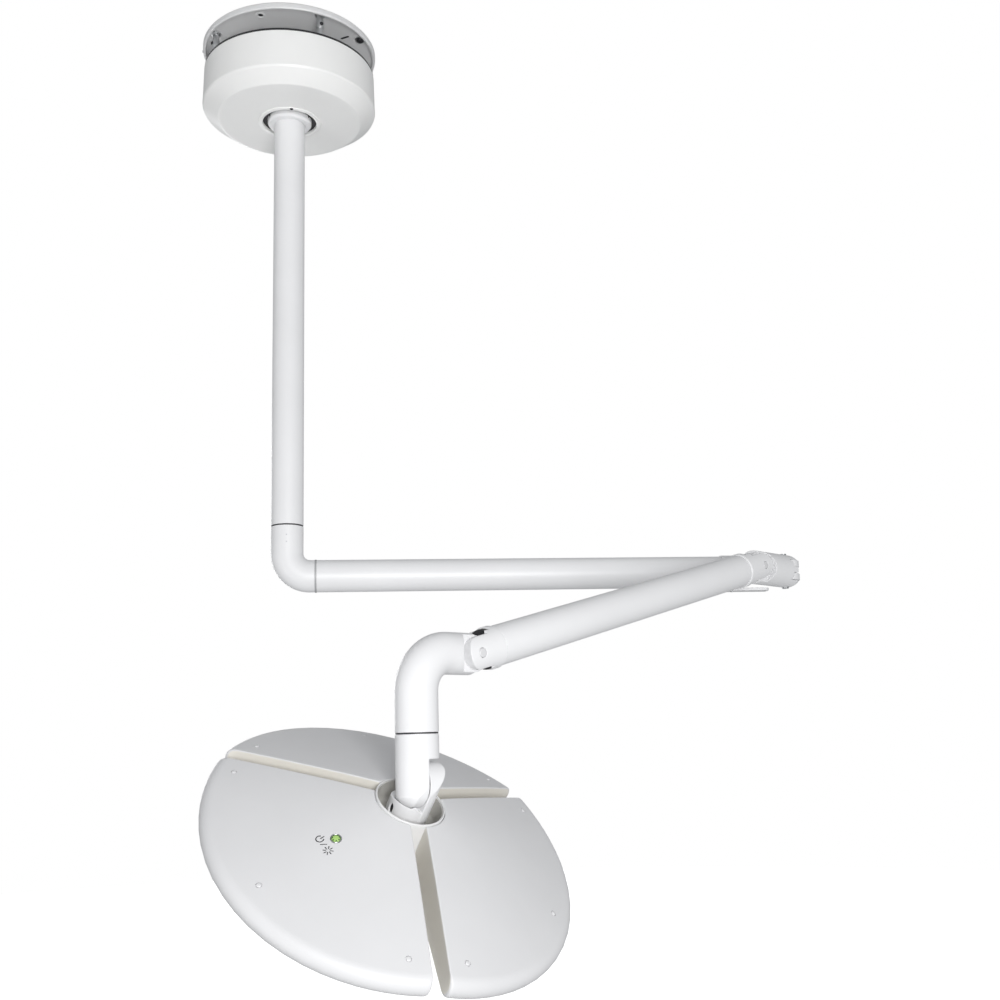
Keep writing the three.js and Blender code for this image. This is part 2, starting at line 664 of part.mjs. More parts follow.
const hubBottomCover = () => turned([
  [12, 2.6], [HUB_OUTER_R, 2.6], [HUB_OUTER_R, -1], [HUB_OUTER_R - 4, -5], [12, -5],
], 30);

const handleSocket = () => turned([
  [0, 12], [17, 12], [17, 3], [12 - GAP, 3], [12 - GAP, -22], [0, -22],
], 24);

// Removable handle: a cup with a bell-mouthed skirt and a waisted grip.
const sterileHandle = () => turned([
  [12.3, -5.6], [26, -5.6], [27, -8], [20, -14], [17, -26], [18.5, -48], [20, -70], [18, -86],
  [12, -92], [0, -92], [0, -24], [12.3, -24],
], 20);

const bracketBolt = () => turned([
  [0, hubTop - WELL_DEPTH - 20], [12, hubTop - WELL_DEPTH - 20], [12, hubTop - WELL_DEPTH - 8.4],
  [6, hubTop - WELL_DEPTH - 8.4], [6, hubTop - WELL_DEPTH + 18], [0, hubTop - WELL_DEPTH + 18],
], 18);

const buttonHeight = domeHeight(BUTTON_AT_R, 0);
const buttonLean = Math.atan2(
  domeHeight(BUTTON_AT_R - 5, 0) - domeHeight(BUTTON_AT_R + 5, 0), 10);
const placeOnPetal = (geometry) =>
  geometry.rotateY(buttonLean).translate(BUTTON_AT_R, 0, buttonHeight);

const buttonBezel = () => placeOnPetal(sleeve(BUTTON_R + 1.5, BUTTON_R + GAP, -4, 0.5, 20));
const pushButton = () => placeOnPetal(turned([
  [0, -6], [BUTTON_R, -6], [BUTTON_R, -0.4], [BUTTON_R - 1, 0.6], [0, 0.6],
], 20));
const controlBoard = () => placeOnPetal(box(-18, 18, -15, 15, -11, -9.4));

// ------------------------------------------------------------------- assembly
const root = group(
  named('ceiling_plate', ceilingPlate(), whitePaint),
  named('mount_socket', mountSocket(), aluminium),
  ...POST_ANGLES.map((angle, i) => named(`canopy_post_${i + 1}`, canopyPost(angle), steel)),
  named('canopy_cover', canopyCover(), whitePlastic),
  named('canopy_ring', canopyRing(), whitePlastic),
  named('tube_collar', tubeCollar(), whitePaint),
  named('driver_box', driverBox(), aluminium),
  named('terminal_block', terminalBlock(), blackPlastic),
  named('drop_tube', dropTube(), whitePaint),
  named('upper_spindle', pivotSpindle(DROP_SEAM_Z), steel),
);

const petals = ['a', 'b', 'c'].map((letter, i) => {
  const holder = group(
    named(`petal_cover_${letter}`, petalCover(letter === 'a'), whitePlastic),
    named(`petal_carrier_${letter}`, petalCarrier(), aluminium),
    named(`led_board_${letter}`, ledBoard(), circuitGreen),
    named(`lens_panel_${letter}`, lensPanel(), clearCover),
  );
  if (letter === 'a') {
    holder.add(named('button_bezel', buttonBezel(), blackPlastic));
    holder.add(named('push_button', pushButton(), greenButton));
    holder.add(named('control_board', controlBoard(), circuitGreen));
  }
  holder.rotation.z = (FIRST_CHANNEL + 60 + 120 * i) * DEG;
  return holder;
});

const lamp = group(
  ...petals,
  named('hub_body', hubBody(), whitePlastic),
  named('hub_bottom_cover', hubBottomCover(), whitePlastic),
  named('handle_socket', handleSocket(), steel),
  named('sterile_handle', sterileHandle(), greyCap),
  named('bracket_bolt', bracketBolt(), steel),
);
lamp.position.z = -RIM_DROP;

const head = group(lamp, named('head_bracket', headBracket(), whitePaint));
head.rotation.x = TILT * DEG;

const lowerSpindleMesh = named('lower_spindle', lowerSpindle(), steel);
lowerSpindleMesh.position.z = TILT_DROP;

const yoke = group(
  named('yoke_tube', yokeTube(), whitePaint),
  named('tilt_pin', tiltPin(), steel),
  named('friction_disc', frictionDisc(), bronze),
  lowerSpindleMesh,
  head,
);
yoke.position.set(ELBOW_REACH, 0, -YOKE_SEAM_DROP - TILT_DROP);
yoke.rotation.z = (YOKE_HEADING - 180 - FOLD) * DEG;

const lowerBush = named('lower_bush', sleeve(TUBE_BORE_R - GAP, 17 + GAP, 10, 40, 24), bronze);
lowerBush.position.set(ELBOW_REACH, 0, -YOKE_SEAM_DROP);

const elbow = group(
  named('lower_elbow', lowerElbow(), whitePaint),
  named('lower_hinge_pin', hingePin(), steel),
  lowerBush,
  yoke,
);
elbow.position.x = BALANCE_REACH;
elbow.rotation.y = -DROOP * DEG;

const lowerFork = named('lower_fork', hingeFork(), whitePaint);
lowerFork.position.x = BALANCE_REACH;
lowerFork.rotation.z = Math.PI;

const balance = group(
  named('upper_fork', hingeFork(), whitePaint),
  named('balance_tube', balanceTube(), whitePaint),
  lowerFork,
  named('balance_spring', balanceSpring(), steel),
  named('spring_rod', springRod(), steel),
  named('upper_hinge_pin', hingePin(), steel),
  elbow,
);
balance.position.x = KNUCKLE_REACH;
balance.rotation.y = DROOP * DEG;

const knuckle = group(
  named('knuckle', knuckleBody(), whitePaint),
  named('swing_pin', swingPin(), steel),
  balance,
);
knuckle.position.x = ARM_REACH;
knuckle.rotation.z = (180 + FOLD) * DEG;

const upperBush = named('upper_bush', pivotBush(DROP_SEAM_Z - ARM_Z), bronze);
const swingArm = group(
  named('upper_elbow', upperElbow(), whitePaint),
  upperBush,
  named('swing_arm_tube', swingArmTube(), whitePaint),
  named('arm_end_fork', armEndFork(), whitePaint),
  named('stop_plate', stopPlate(), whitePaint),
  knuckle,
);
swingArm.position.z = ARM_Z;

root.add(swingArm);
root.updateMatrixWorld(true);

export default root;
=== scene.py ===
"""Looks of a ceiling-mounted dental operating light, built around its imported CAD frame.

Shapes are made in millimetres in each group's own frame and placed by a matrix taken from the joints.
"""

import json
from math import acos, atan, atan2, cos, degrees, hypot, pi, sin, sqrt, tan

import bmesh
import bpy
import numpy as np
from mathutils import Matrix, Vector


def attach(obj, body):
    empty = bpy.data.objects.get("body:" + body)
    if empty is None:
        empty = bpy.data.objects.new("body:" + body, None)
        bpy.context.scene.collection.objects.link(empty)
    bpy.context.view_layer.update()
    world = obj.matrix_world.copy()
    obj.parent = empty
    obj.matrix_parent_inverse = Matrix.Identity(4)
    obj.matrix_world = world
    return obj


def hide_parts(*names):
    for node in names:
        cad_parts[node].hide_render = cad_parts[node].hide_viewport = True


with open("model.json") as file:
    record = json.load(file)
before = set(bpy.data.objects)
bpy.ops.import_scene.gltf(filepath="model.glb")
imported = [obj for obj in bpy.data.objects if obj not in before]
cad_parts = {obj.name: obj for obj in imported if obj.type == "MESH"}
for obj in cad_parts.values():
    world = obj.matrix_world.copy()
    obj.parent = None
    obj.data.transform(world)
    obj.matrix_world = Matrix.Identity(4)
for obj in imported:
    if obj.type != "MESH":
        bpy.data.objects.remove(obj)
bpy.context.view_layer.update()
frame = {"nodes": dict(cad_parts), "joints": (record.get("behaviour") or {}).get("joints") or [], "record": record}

MM = 0.001
DEG = pi / 180
SHARP = 35  # degrees at which a turned or cut edge stays sharp
SOFT = 40  # the same on large shells and tubes

# sizes in millimetres, the same as the CAD model's
GAP = 0.3
TUBE_R = 27.5
TUBE_BORE_R = 24.5
COLLAR_R = 29.2
SPIGOT_R = 24.2
# outer radius of the black rings that paint the seams' shade
GAP_SHADE_R = 26.9
PLATE_R = 157
CANOPY_HOLE_R = 48.5
DROP_SEAM = -892.5
ARM_TUBE_END = 760
ARM_COLLAR_END = 785
ARM_REACH = 879
UPPER_BEND_R = 39
ELBOW_FACE = 48
KNUCKLE_REACH = 100
PLATE_TIP_R = 26.5
PLATE_LOW = 5.8
PLATE_HIGH = 17.5
NECK_HALF = 16
LOBE_R = 21
PIN_R = 6
BALANCE_REACH = 694.5
TONGUE_HALF = 13
TONGUE_TIP_R = 24
SHOULDER_R = 32
EAR_R = 21.5
EAR_END = 23
SLOT_DEPTH = 34
COLLAR_END = 45.5
ELBOW_REACH = 90.5
LOWER_BEND_R = 50
YOKE_SEAM_DROP = 100.6
YOKE_CUT_DROP = 31.5
TILT_DROP = 62.4
LAP_FACE = 0.9
TILT = 37.82
RIM_DROP = 93.6
LAMP_R = 245
DOME = 78.2
DOME_POWER = 1.125
FLATNESS = 0.406
EDGE_R = 15
CHANNEL = 20.5
FIRST_CHANNEL = 134.44
PETAL_HALF = 60  # degrees from a petal's middle to its channel wall
UNDER_SLOPE = 0.1425
COVER_WALL = 2.5
HUB_R = 43.4
HUB_OUTER_R = 45.8
PETAL_INNER_R = 46.3
WELL_DEPTH = 30
BUTTON_AT_R = 116
BUTTON_R = 5.2
PLUG_R = 218  # radius the screw plugs stand on
PLUG_ANGLES = (-50.6, 0, 50.6)

# ------ places
joints = {joint["name"]: joint for joint in frame["joints"]}
swing_at, knuckle_at, upper_pin, lower_pin, tilt_at = (
    Vector(joints[name]["pos_m"])
    for name in ("arm_swing", "knuckle_swing", "balance_tilt", "elbow_level", "lamp_tilt"))


def heading(vector):
    return atan2(vector.y, vector.x)


FOLD = pi - abs(heading(upper_pin - knuckle_at))
reach = lower_pin - upper_pin
DROOP = atan2(-reach.z, hypot(reach.x, reach.y))
to_mm = Matrix.Scale(MM, 4)
turned_back = Matrix.Rotation(heading(upper_pin - knuckle_at), 4, "Z")
PLACE = {
    "mount": to_mm,
    "swing": Matrix.Translation(swing_at) @ to_mm,
    "knuckle": Matrix.Translation(knuckle_at) @ turned_back @ to_mm,
    "balance": Matrix.Translation(upper_pin) @ turned_back @ Matrix.Rotation(DROOP, 4, "Y") @ to_mm,
    "elbow": Matrix.Translation(lower_pin) @ turned_back @ to_mm,
}
tilt_axis = Vector(joints["lamp_tilt"]["axis"])
yoke_turn = Matrix.Rotation(heading(tilt_axis), 4, "Z")
PLACE["yoke"] = Matrix.Translation(tilt_at) @ yoke_turn @ to_mm
PLACE["head"] = PLACE["yoke"] @ Matrix.Rotation(TILT * DEG, 4, "X")
PLACE["lamp"] = PLACE["head"] @ Matrix.Translation((0, 0, -RIM_DROP))
for number, letter in enumerate("abc"):
    middle = FIRST_CHANNEL + PETAL_HALF + 2 * PETAL_HALF * number
    PLACE["petal_" + letter] = PLACE["lamp"] @ Matrix.Rotation(middle * DEG, 4, "Z")
facing_back = Matrix.Rotation(pi, 4, "Z")
PLACE["lower_fork"] = PLACE["balance"] @ Matrix.Translation((BALANCE_REACH, 0, 0)) @ facing_back

PLACE["button"] = PLACE["petal_a"]
# bodies that the places ride on; the others ride on the head
BODY = {"mount": "mount", "swing": "swing_arm", "knuckle": "knuckle", "balance": "balance_arm",
        "lower_fork": "balance_arm", "elbow": "lower_elbow", "yoke": "yoke", "button": "power_button"}

# ------ mesh helpers
FILLET_STEPS = 8  # in a right-angled corner
FILLET_ROOM = 0.49  # of the shorter edge beside a corner
NEARLY_STRAIGHT = 1.55  # half of a corner's angle, in radians
FAR = 60  # how far a cutter reaches, past the outside of any arm piece


def linked(name, data):
    obj = bpy.data.objects.new(name, data)
    bpy.context.scene.collection.objects.link(obj)
    return obj


def mesh_object(name, vertices, faces):
    mesh = bpy.data.meshes.new(name)
    mesh.from_pydata([tuple(v) for v in vertices], [], faces)
    mesh.validate()
    obj = linked(name, mesh)
    edit = bmesh.new()
    edit.from_mesh(mesh)
    bmesh.ops.remove_doubles(edit, verts=edit.verts, dist=1e-4)
    bmesh.ops.recalc_face_normals(edit, faces=edit.faces)
    edit.to_mesh(mesh)
    edit.free()
    return obj


def filleted(outline, closed):
    """Points of an outline of (x, y) or (x, y, fillet radius), with the fillets as arcs."""
    count = len(outline)
    points = []
    for i, corner in enumerate(outline):
        here = np.array(corner[:2], float)
        radius = corner[2] if len(corner) > 2 else 0
        if radius <= 0 or (not closed and i in (0, count - 1)):
            points.append(here)
            continue
        back = np.array(outline[i - 1][:2], float) - here
        ahead = np.array(outline[(i + 1) % count][:2], float) - here
        room = FILLET_ROOM * min(np.linalg.norm(back), np.linalg.norm(ahead))
        back /= np.linalg.norm(back)
        ahead /= np.linalg.norm(ahead)
        half = acos(max(-1, min(1, float(back @ ahead)))) / 2
        if half > NEARLY_STRAIGHT:
            points.append(here)
            continue
        reach_along = min(radius / tan(half), room)
        steps = max(2, round((pi / 2 - half) / (pi / 2) * FILLET_STEPS))
        arc = reach_along * tan(half)
        centre = here + (back + ahead) / np.linalg.norm(back + ahead) * arc / sin(half)
        first = here + back * reach_along - centre
        last = here + ahead * reach_along - centre
        sweep = pi - 2 * half
        for step in range(steps + 1):
            part = step / steps
            spread = sin(sweep)
            mix = (sin((1 - part) * sweep) * first + sin(part * sweep) * last) / spread
            points.append(centre + mix)
    return points


def loft(name, loops, closed_ends=True, ring=False):
    """Skin through loops of equal counts. ring joins the last loop to the first."""
    count = len(loops[0])
    vertices = [p for loop in loops for p in loop]
    faces = []
    rows = len(loops)
    for row in range(rows if ring else rows - 1):
        a, b = row * count, ((row + 1) % rows) * count
        for i in range(count):
            j = (i + 1) % count
            faces.append((a + i, a + j, b + j, b + i))
    if closed_ends and not ring:
        faces.append(tuple(reversed(range(count))))
        faces.append(tuple(range((rows - 1) * count, rows * count)))
    return mesh_object(name, vertices, faces)


def lathe(name, outline, segments=96, axis="z"):
    """Solid of revolution of (radius, height[, fillet]) corners, from axis to axis or a closed ring."""
    closed = outline[0][0] > 0 or outline[-1][0] > 0
    points = filleted(outline, closed)
    vertices, faces, rows = [], [], []
    for radius, height in points:
        if radius < 1e-6:
            rows.append([len(vertices)] * segments)
            vertices.append((0, 0, height))
            continue
        rows.append(list(range(len(vertices), len(vertices) + segments)))
        for i in range(segments):
            angle = 2 * pi * i / segments
            vertices.append((radius * cos(angle), radius * sin(angle), height))
    pairs = list(zip(rows, rows[1:] + rows[:1])) if closed else list(zip(rows, rows[1:]))
    for low, high in pairs:
        for i in range(segments):
            j = (i + 1) % segments
            face = []
            for v in (low[i], low[j], high[j], high[i]):
                if v not in face:
                    face.append(v)
            if len(face) > 2:
                faces.append(tuple(face))
    obj = mesh_object(name, vertices, faces)
    if axis == "x":
        obj.data.transform(Matrix.Rotation(pi / 2, 4, "Y"))
    if axis == "y":
        obj.data.transform(Matrix.Rotation(-pi / 2, 4, "X"))
    return obj


def rod(name, radius, low, high, segments=64, axis="z", fillet=0):
    return lathe(name, [(0, low), (radius, low, fillet), (radius, high, fillet), (0, high)], segments, axis)


def tube(name, outer, inner, low, high, segments=96, axis="z", fillet=0.8):
    return lathe(name, [
        (inner, low, fillet / 2), (outer, low, fillet), (outer, high, fillet), (inner, high, fillet / 2)],
        segments, axis)


def block(name, low, high):
    xs, ys, zs = zip(low, high)
    corners = [(x, y, z) for x in xs for y in ys for z in zs]
    faces = [(0, 1, 3, 2), (4, 6, 7, 5), (0, 4, 5, 1), (2, 3, 7, 6), (0, 2, 6, 4), (1, 5, 7, 3)]
    return mesh_object(name, corners, faces)


def prism(name, outline, low, high, closed=True):
    """Upright solid on a plan outline of (x, y[, fillet]) corners."""
    points = filleted(outline, closed)
    return loft(name, [[(x, y, z) for x, y in points] for z in (low, high)])


def arc_points(radius, start, end, count):
    """Points (x, y) from one angle to another, in radians."""
    return [(radius * cos(a), radius * sin(a)) for a in np.linspace(start, end, count)]


def oblong(half_x, half_y, fillet):
    """Outline of a rectangle with rounded corners, for a prism."""
    return [(-half_x, -half_y, fillet), (half_x, -half_y, fillet), (half_x, half_y, fillet),
            (-half_x, half_y, fillet)]


def moved(obj, matrix):
    obj.data.transform(matrix)
    return obj


def spin(angle, axis="Z"):
    return Matrix.Rotation(angle * DEG, 4, axis)


def shift(x, y, z):
    return Matrix.Translation((x, y, z))


def polar(radius, angle):
    return radius * cos(angle * DEG), radius * sin(angle * DEG)


def round_at(radius, angle, z=0):
    return shift(*polar(radius, angle), z)


FACING_DOWN = spin(180, "X")


def drop_object(obj):
    mesh = obj.data
    bpy.data.objects.remove(obj)
    bpy.data.meshes.remove(mesh)


def apply_modifiers(obj):
    graph = bpy.context.evaluated_depsgraph_get()
    mesh = bpy.data.meshes.new_from_object(obj.evaluated_get(graph))
    old = obj.data
    obj.modifiers.clear()
    obj.data = mesh
    bpy.data.meshes.remove(old)
    return obj


def boolean(obj, operation, others):
    for other in others:
        step = obj.modifiers.new("step", "BOOLEAN")
        step.operation = operation
        step.object = other
        step.solver = "MANIFOLD"
        apply_modifiers(obj)
        drop_object(other)
    return obj


def cut(obj, *others):
    return boolean(obj, "DIFFERENCE", others)


def join(obj, *others):
    return boolean(obj, "UNION", others)


def common(obj, *others):
    return boolean(obj, "INTERSECT", others)


def cast(obj, voxel=0.55, rounds=6, keep=0.5):
    """Softens a cut solid's edges, as a painted casting's are: fine remesh, smoothing and thinning."""
    remesh = obj.modifiers.new("remesh", "REMESH")
    remesh.mode = "VOXEL"
    remesh.voxel_size = voxel * 1
    smooth = obj.modifiers.new("smooth", "SMOOTH")
    smooth.factor = 0.5
    smooth.iterations = rounds
    if keep < 1:
        thin = obj.modifiers.new("thin", "DECIMATE")
        thin.ratio = keep
    return apply_modifiers(obj)


def merged(name, objects):
    """One object from several that don't touch."""
    edit = bmesh.new()
    for obj in objects:
        edit.from_mesh(obj.data)
        drop_object(obj)
    mesh = bpy.data.meshes.new(name)
    edit.to_mesh(mesh)
    edit.free()
    return linked(name, mesh)


def piece(obj, place, paint, *replaced, angle=SHARP, slot=None):
    """Places a finished mesh, paints it and lets it ride on its place's body. Edges past angle stay sharp."""
    body = BODY.get(place, "head")
    slot = slot or SLOT_OF[paint.name]
    obj.data.transform(PLACE[place])
    obj.data.materials.clear()
    obj.data.materials.append(paint)
    for polygon in obj.data.polygons:
        polygon.use_smooth = True
    if angle:
        obj.data.set_sharp_from_angle(angle=angle * DEG)
        keep = obj.modifiers.new("normals", "WEIGHTED_NORMAL")
        keep.keep_sharp = True
    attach(obj, body)
    if replaced:
        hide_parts(*replaced)
    return obj


# ------ materials


def node(tree, kind, **values):
    made = tree.nodes.new("ShaderNode" + kind)
    for key, value in values.items():
        if hasattr(made, key):
            setattr(made, key, value)
        else:
            made.inputs[key.replace("_", " ")].default_value = value
    return made


def finish_of(name, color, roughness, metal=0.0, grain=0.6, bump=0.01, tint=0.03, scatter=0.06, **sockets):
    """A surface with fine grain in its relief, slow changes of colour and uneven gloss.

    grain and bump are in millimetres. tint is how much darker the darkest places are, and scatter is how far
    the roughness goes up and down. sockets are the shader's own, by name.
    """
    material = bpy.data.materials.new(name)
    material.use_nodes = True
    tree = material.node_tree
    link = tree.links.new
    tree.nodes.clear()
    out = node(tree, "OutputMaterial")
    shader = node(tree, "BsdfPrincipled", Metallic=metal)
    for key, value in sockets.items():
        shader.inputs[key.replace("_", " ")].default_value = value
    link(shader.outputs["BSDF"], out.inputs["Surface"])
    place = node(tree, "TexCoord")
    slow = node(tree, "TexNoise", Scale=9.0, Detail=3.0, Roughness=0.6)
    fine = node(tree, "TexNoise", Scale=1 / (grain * MM), Detail=2.0, Roughness=0.55)
    for noise in (slow, fine):
        link(place.outputs["Object"], noise.inputs["Vector"])
    shades = node(tree, "ValToRGB")
    shades.color_ramp.elements[0].position = 0.3
    shades.color_ramp.elements[1].position = 0.7
    dark = [c * (1 - tint) for c in color]
    shades.color_ramp.elements[0].color = (*dark, 1)
    shades.color_ramp.elements[1].color = (*color, 1)
    link(slow.outputs["Fac"], shades.inputs["Fac"])
    link(shades.outputs["Color"], shader.inputs["Base Color"])
    gloss = node(tree, "MapRange")
    gloss.inputs["To Min"].default_value = roughness - scatter / 2
    gloss.inputs["To Max"].default_value = roughness + scatter / 2
    link(fine.outputs["Fac"], gloss.inputs["Value"])
    link(gloss.outputs["Result"], shader.inputs["Roughness"])
    relief = node(tree, "Bump", Strength=1.0, Distance=bump * MM)
    link(fine.outputs["Fac"], relief.inputs["Height"])
    link(relief.outputs["Normal"], shader.inputs["Normal"])
    return material


ARM_PAINT = finish_of("arm_paint", (0.84, 0.84, 0.85), 0.38, grain=1.6, bump=0.02)
YOKE_PAINT = finish_of("yoke_paint", (0.79, 0.79, 0.8), 0.36, grain=1.6, bump=0.02)
# the arms' white paint made greyer: painted shade of the plate inside the canopy
PLATE_SHADED_PAINT = finish_of("plate_shaded_paint", (0.74, 0.74, 0.745), 0.42, grain=1.4, bump=0.02)
# whiter than the other white paint and plastic: painted light on the canopy
CANOPY_LIT_SHELL = finish_of("canopy_lit_shell", (0.91, 0.91, 0.9), 0.36, grain=1.2)
PETAL_SHELL = finish_of("petal_shell", (0.70, 0.70, 0.71), 0.46, grain=0.9, bump=0.02)
# beige grey on the channel walls, which are the petals' own plastic: painted shade and warm bounce light of the
# channels
PETAL_WALL_SHADE = finish_of("petal_wall_shade", (0.74, 0.715, 0.66), 0.5, grain=0.9, bump=0.02)
HUB_SHELL = finish_of("hub_shell", (0.74, 0.74, 0.74), 0.42, grain=0.9, bump=0.015)
# darker beige grey for the liner in the hub's well: painted shade
HUB_WELL_SHADE = finish_of("hub_well_shade", (0.5, 0.49, 0.46), 0.46, grain=0.9, bump=0.015)
PIN_METAL = finish_of("pin_cap", (0.7, 0.7, 0.71), 0.34, grain=0.5, tint=0.08)
# mid grey: painted shade of the groove at the arm's seam
SEAM_SHADE_GREY = finish_of("seam_shade_band", (0.42, 0.42, 0.43), 0.4, grain=0.8)
STEEL = finish_of("turned_steel", (0.56, 0.57, 0.58), 0.3, metal=1.0, grain=0.4, tint=0.12, scatter=0.16)
DARK_STEEL = finish_of("black_oxide_steel", (0.05, 0.05, 0.055), 0.45, metal=0.7, grain=0.4, tint=0.3)
ALUMINIUM = finish_of("aluminium", (0.66, 0.67, 0.68), 0.42, metal=1.0, grain=0.5, tint=0.06)
BRONZE = finish_of("bronze", (0.55, 0.4, 0.2), 0.4, metal=1.0, grain=0.5, tint=0.15)
BLACK = finish_of("black_plastic", (0.025, 0.025, 0.028), 0.5, grain=0.5, bump=0.02, tint=0.2)
BOARD = finish_of("solder_resist", (0.03, 0.16, 0.07), 0.4, grain=1.5, tint=0.25)
GRIP = finish_of("handle_plastic", (0.62, 0.63, 0.65), 0.45, grain=0.7, bump=0.03)
PRINT = finish_of("dark_print", (0.07, 0.07, 0.075), 0.6, grain=0.5, bump=0.005, tint=0.25)
CLEAR = finish_of("clear_cover", (0.96, 0.98, 0.99), 0.06, grain=6, tint=0.01, scatter=0.02,
                  Transmission_Weight=1.0, IOR=1.49)
OPTIC = finish_of("optic", (0.95, 0.97, 1.0), 0.08, grain=5, tint=0.02, scatter=0.02,
                  Transmission_Weight=0.9, IOR=1.49)
GLOW = finish_of("button_glow", (0.36, 0.55, 0.16), 0.2, grain=1.2, bump=0.02, tint=0.4,
                 Emission_Color=(0.4, 0.7, 0.18, 1), Emission_Strength=0.3, Coat_Weight=1.0)
GREEN_EDGE = finish_of("button_edge", (0.05, 0.13, 0.05), 0.3, grain=1.2, bump=0.02, tint=0.3)

# the looks of each slot, and first the one that its CAD nodes get
PAINTS = {
    "white_paint": (ARM_PAINT, YOKE_PAINT, PLATE_SHADED_PAINT, SEAM_SHADE_GREY),
    "white_plastic": (PETAL_SHELL, CANOPY_LIT_SHELL, HUB_SHELL, HUB_WELL_SHADE),
    "steel": (STEEL, DARK_STEEL, PIN_METAL), "aluminium": (ALUMINIUM,), "bronze": (BRONZE,),
    "black_plastic": (BLACK, PRINT), "circuit_green": (BOARD,), "clear_cover": (CLEAR, OPTIC),
    "grey_cap": (GRIP,), "green_button": (GLOW, GREEN_EDGE),
}
SLOT_OF = {paint.name: slot for slot, paints in PAINTS.items() for paint in paints}
for part in frame["record"]["subparts"]:
    carried = frame["nodes"][part["node"]]
    carried.data.materials.clear()
    carried.data.materials.append(PAINTS[part["material_slot"]][0])
frame["nodes"]["friction_disc"].data.materials[0] = DARK_STEEL

# ------ ceiling group
ANCHOR_R, ANCHOR_ANGLES = 128, (-111, 9, 129)
POST_RING_R, POST_ANGLES = 141, (-156, -66, 24, 114)
PLATE_SLOT_AT = (119, -32)  # radius and angle
PLATE_BOLT_AT = (141.5, -25)


def pan_screw(name, radius, length, head=0.62):
    """Pan-head screw, head up from z 0, with a cross recess. head is the head's height over its radius."""
    shank, top = radius * 0.55, radius * head
    body = lathe(name, [
        (0, -length), (shank, -length, 0.3), (shank, -0.05), (radius, -0.05),
        (radius, top * 0.45, radius * 0.3), (0, top)], 40)
    long, wide = radius * 0.5, radius * 0.12
    return cut(body, *[block("cross", (-a, -b, top * 0.35), (a, b, radius * 2))
                       for a, b in ((long, wide), (wide, long))])


def mount_piece(obj, paint, *replaced, **choices):
    return piece(obj, "mount", paint, *replaced, **choices)


def grub(name, radius, low, high):
    """Set screw along x, its head at high."""
    return rod(name, radius, low, high, 24, "x", 0.3)


def ceiling_plate():
    """Pressed pan with a rolled rim, three anchor holes, a cable hole and a slot with its plastic insert."""
    pan = lathe("ceiling_plate_look", [
        (0, -3), (150, -3, 1.2), (152, -4.6, 1), (152, -12, 0.8), (155.6, -12, 1.2), (PLATE_R, -9.6, 1.6),
        (PLATE_R, -2.4, 1.5), (154.8, 0, 1.2), (0, 0)], 128)
    holes = [moved(rod("hole", 4.5, -20, 10, 40), round_at(ANCHOR_R, a)) for a in ANCHOR_ANGLES]
    cable = moved(rod("hole", 11, -20, 10, 48), shift(0, 62, 0))
    slot_at = round_at(*PLATE_SLOT_AT) @ spin(PLATE_SLOT_AT[1])
    slot = moved(prism("slot", oblong(9, 3, 2.9), -20, 10), slot_at)
    mount_piece(cut(pan, *holes, cable, slot), PLATE_SHADED_PAINT, "ceiling_plate")
    for number, angle in enumerate(ANCHOR_ANGLES):
        boss = lathe(f"anchor_boss_{number + 1}", [
            (5.2, -3.1), (8.6, -3.1, 0.4), (8.2, -4.6, 0.6), (5.2, -4.6, 0.5)], 48)
        mount_piece(moved(boss, round_at(ANCHOR_R, angle)), PLATE_SHADED_PAINT)
        anchor = pan_screw(f"anchor_screw_{number + 1}", 4.2, 2, 0.45)
        mount_piece(moved(anchor, round_at(ANCHOR_R, angle, -2.2) @ FACING_DOWN), DARK_STEEL)
    insert = prism("slot_insert", oblong(8.6, 2.6, 2.5), -2.6, -0.6)
    mount_piece(moved(insert, slot_at), BLACK)
    rim_screw = lathe("rim_screw", [(0, 0), (2.4, 0), (2.4, 1.4, 0.6), (0, 1.4)], 32, "x")
    mount_piece(moved(rim_screw, spin(-178.9) @ shift(PLATE_R + 0.1, 0, -6)), STEEL)


def plate_bolt():
    """A dark screw in a washer beside the slot, under the plate."""
    washer = lathe("plate_washer", [(4.6, -3.1), (9.5, -3.1, 0.3), (9.5, -4.7, 0.4), (4.6, -4.7, 0.3)], 48)
    mount_piece(moved(washer, round_at(*PLATE_BOLT_AT)), STEEL)
    bolt = pan_screw("plate_bolt", 6.4, 0.9, 0.9)
    mount_piece(moved(bolt, round_at(*PLATE_BOLT_AT, -4.9) @ FACING_DOWN), DARK_STEEL)


def canopy_post(number, angle):
    """Hanger post: foot flange on the plate, shank, a swell with a cross screw and a collar at the canopy."""
    post = lathe(f"canopy_post_{number}_look", [
        (0, -3.3), (9, -3.3, 0.6), (9, -5.8, 0.6), (5.4, -7, 1), (5, -17, 0.6), (6.6, -18.5, 0.6),
        (6.6, -29, 0.6), (5, -30.5, 0.6), (5, -46, 0.5), (6.3, -47, 0.5), (6.3, -56, 0.6),
        (5, -57, 0.5), (5, -65.3, 0.8), (0, -65.3)], 48)
    mount_piece(moved(post, round_at(POST_RING_R, angle)), ALUMINIUM, f"canopy_post_{number}", slot="steel")
    screw = pan_screw(f"post_screw_{number}", 3.2, 3, 0.8)
    outwards = round_at(POST_RING_R + 6.4, angle, -23.8) @ spin(angle) @ spin(90, "Y")
    mount_piece(moved(screw, outwards), DARK_STEEL)


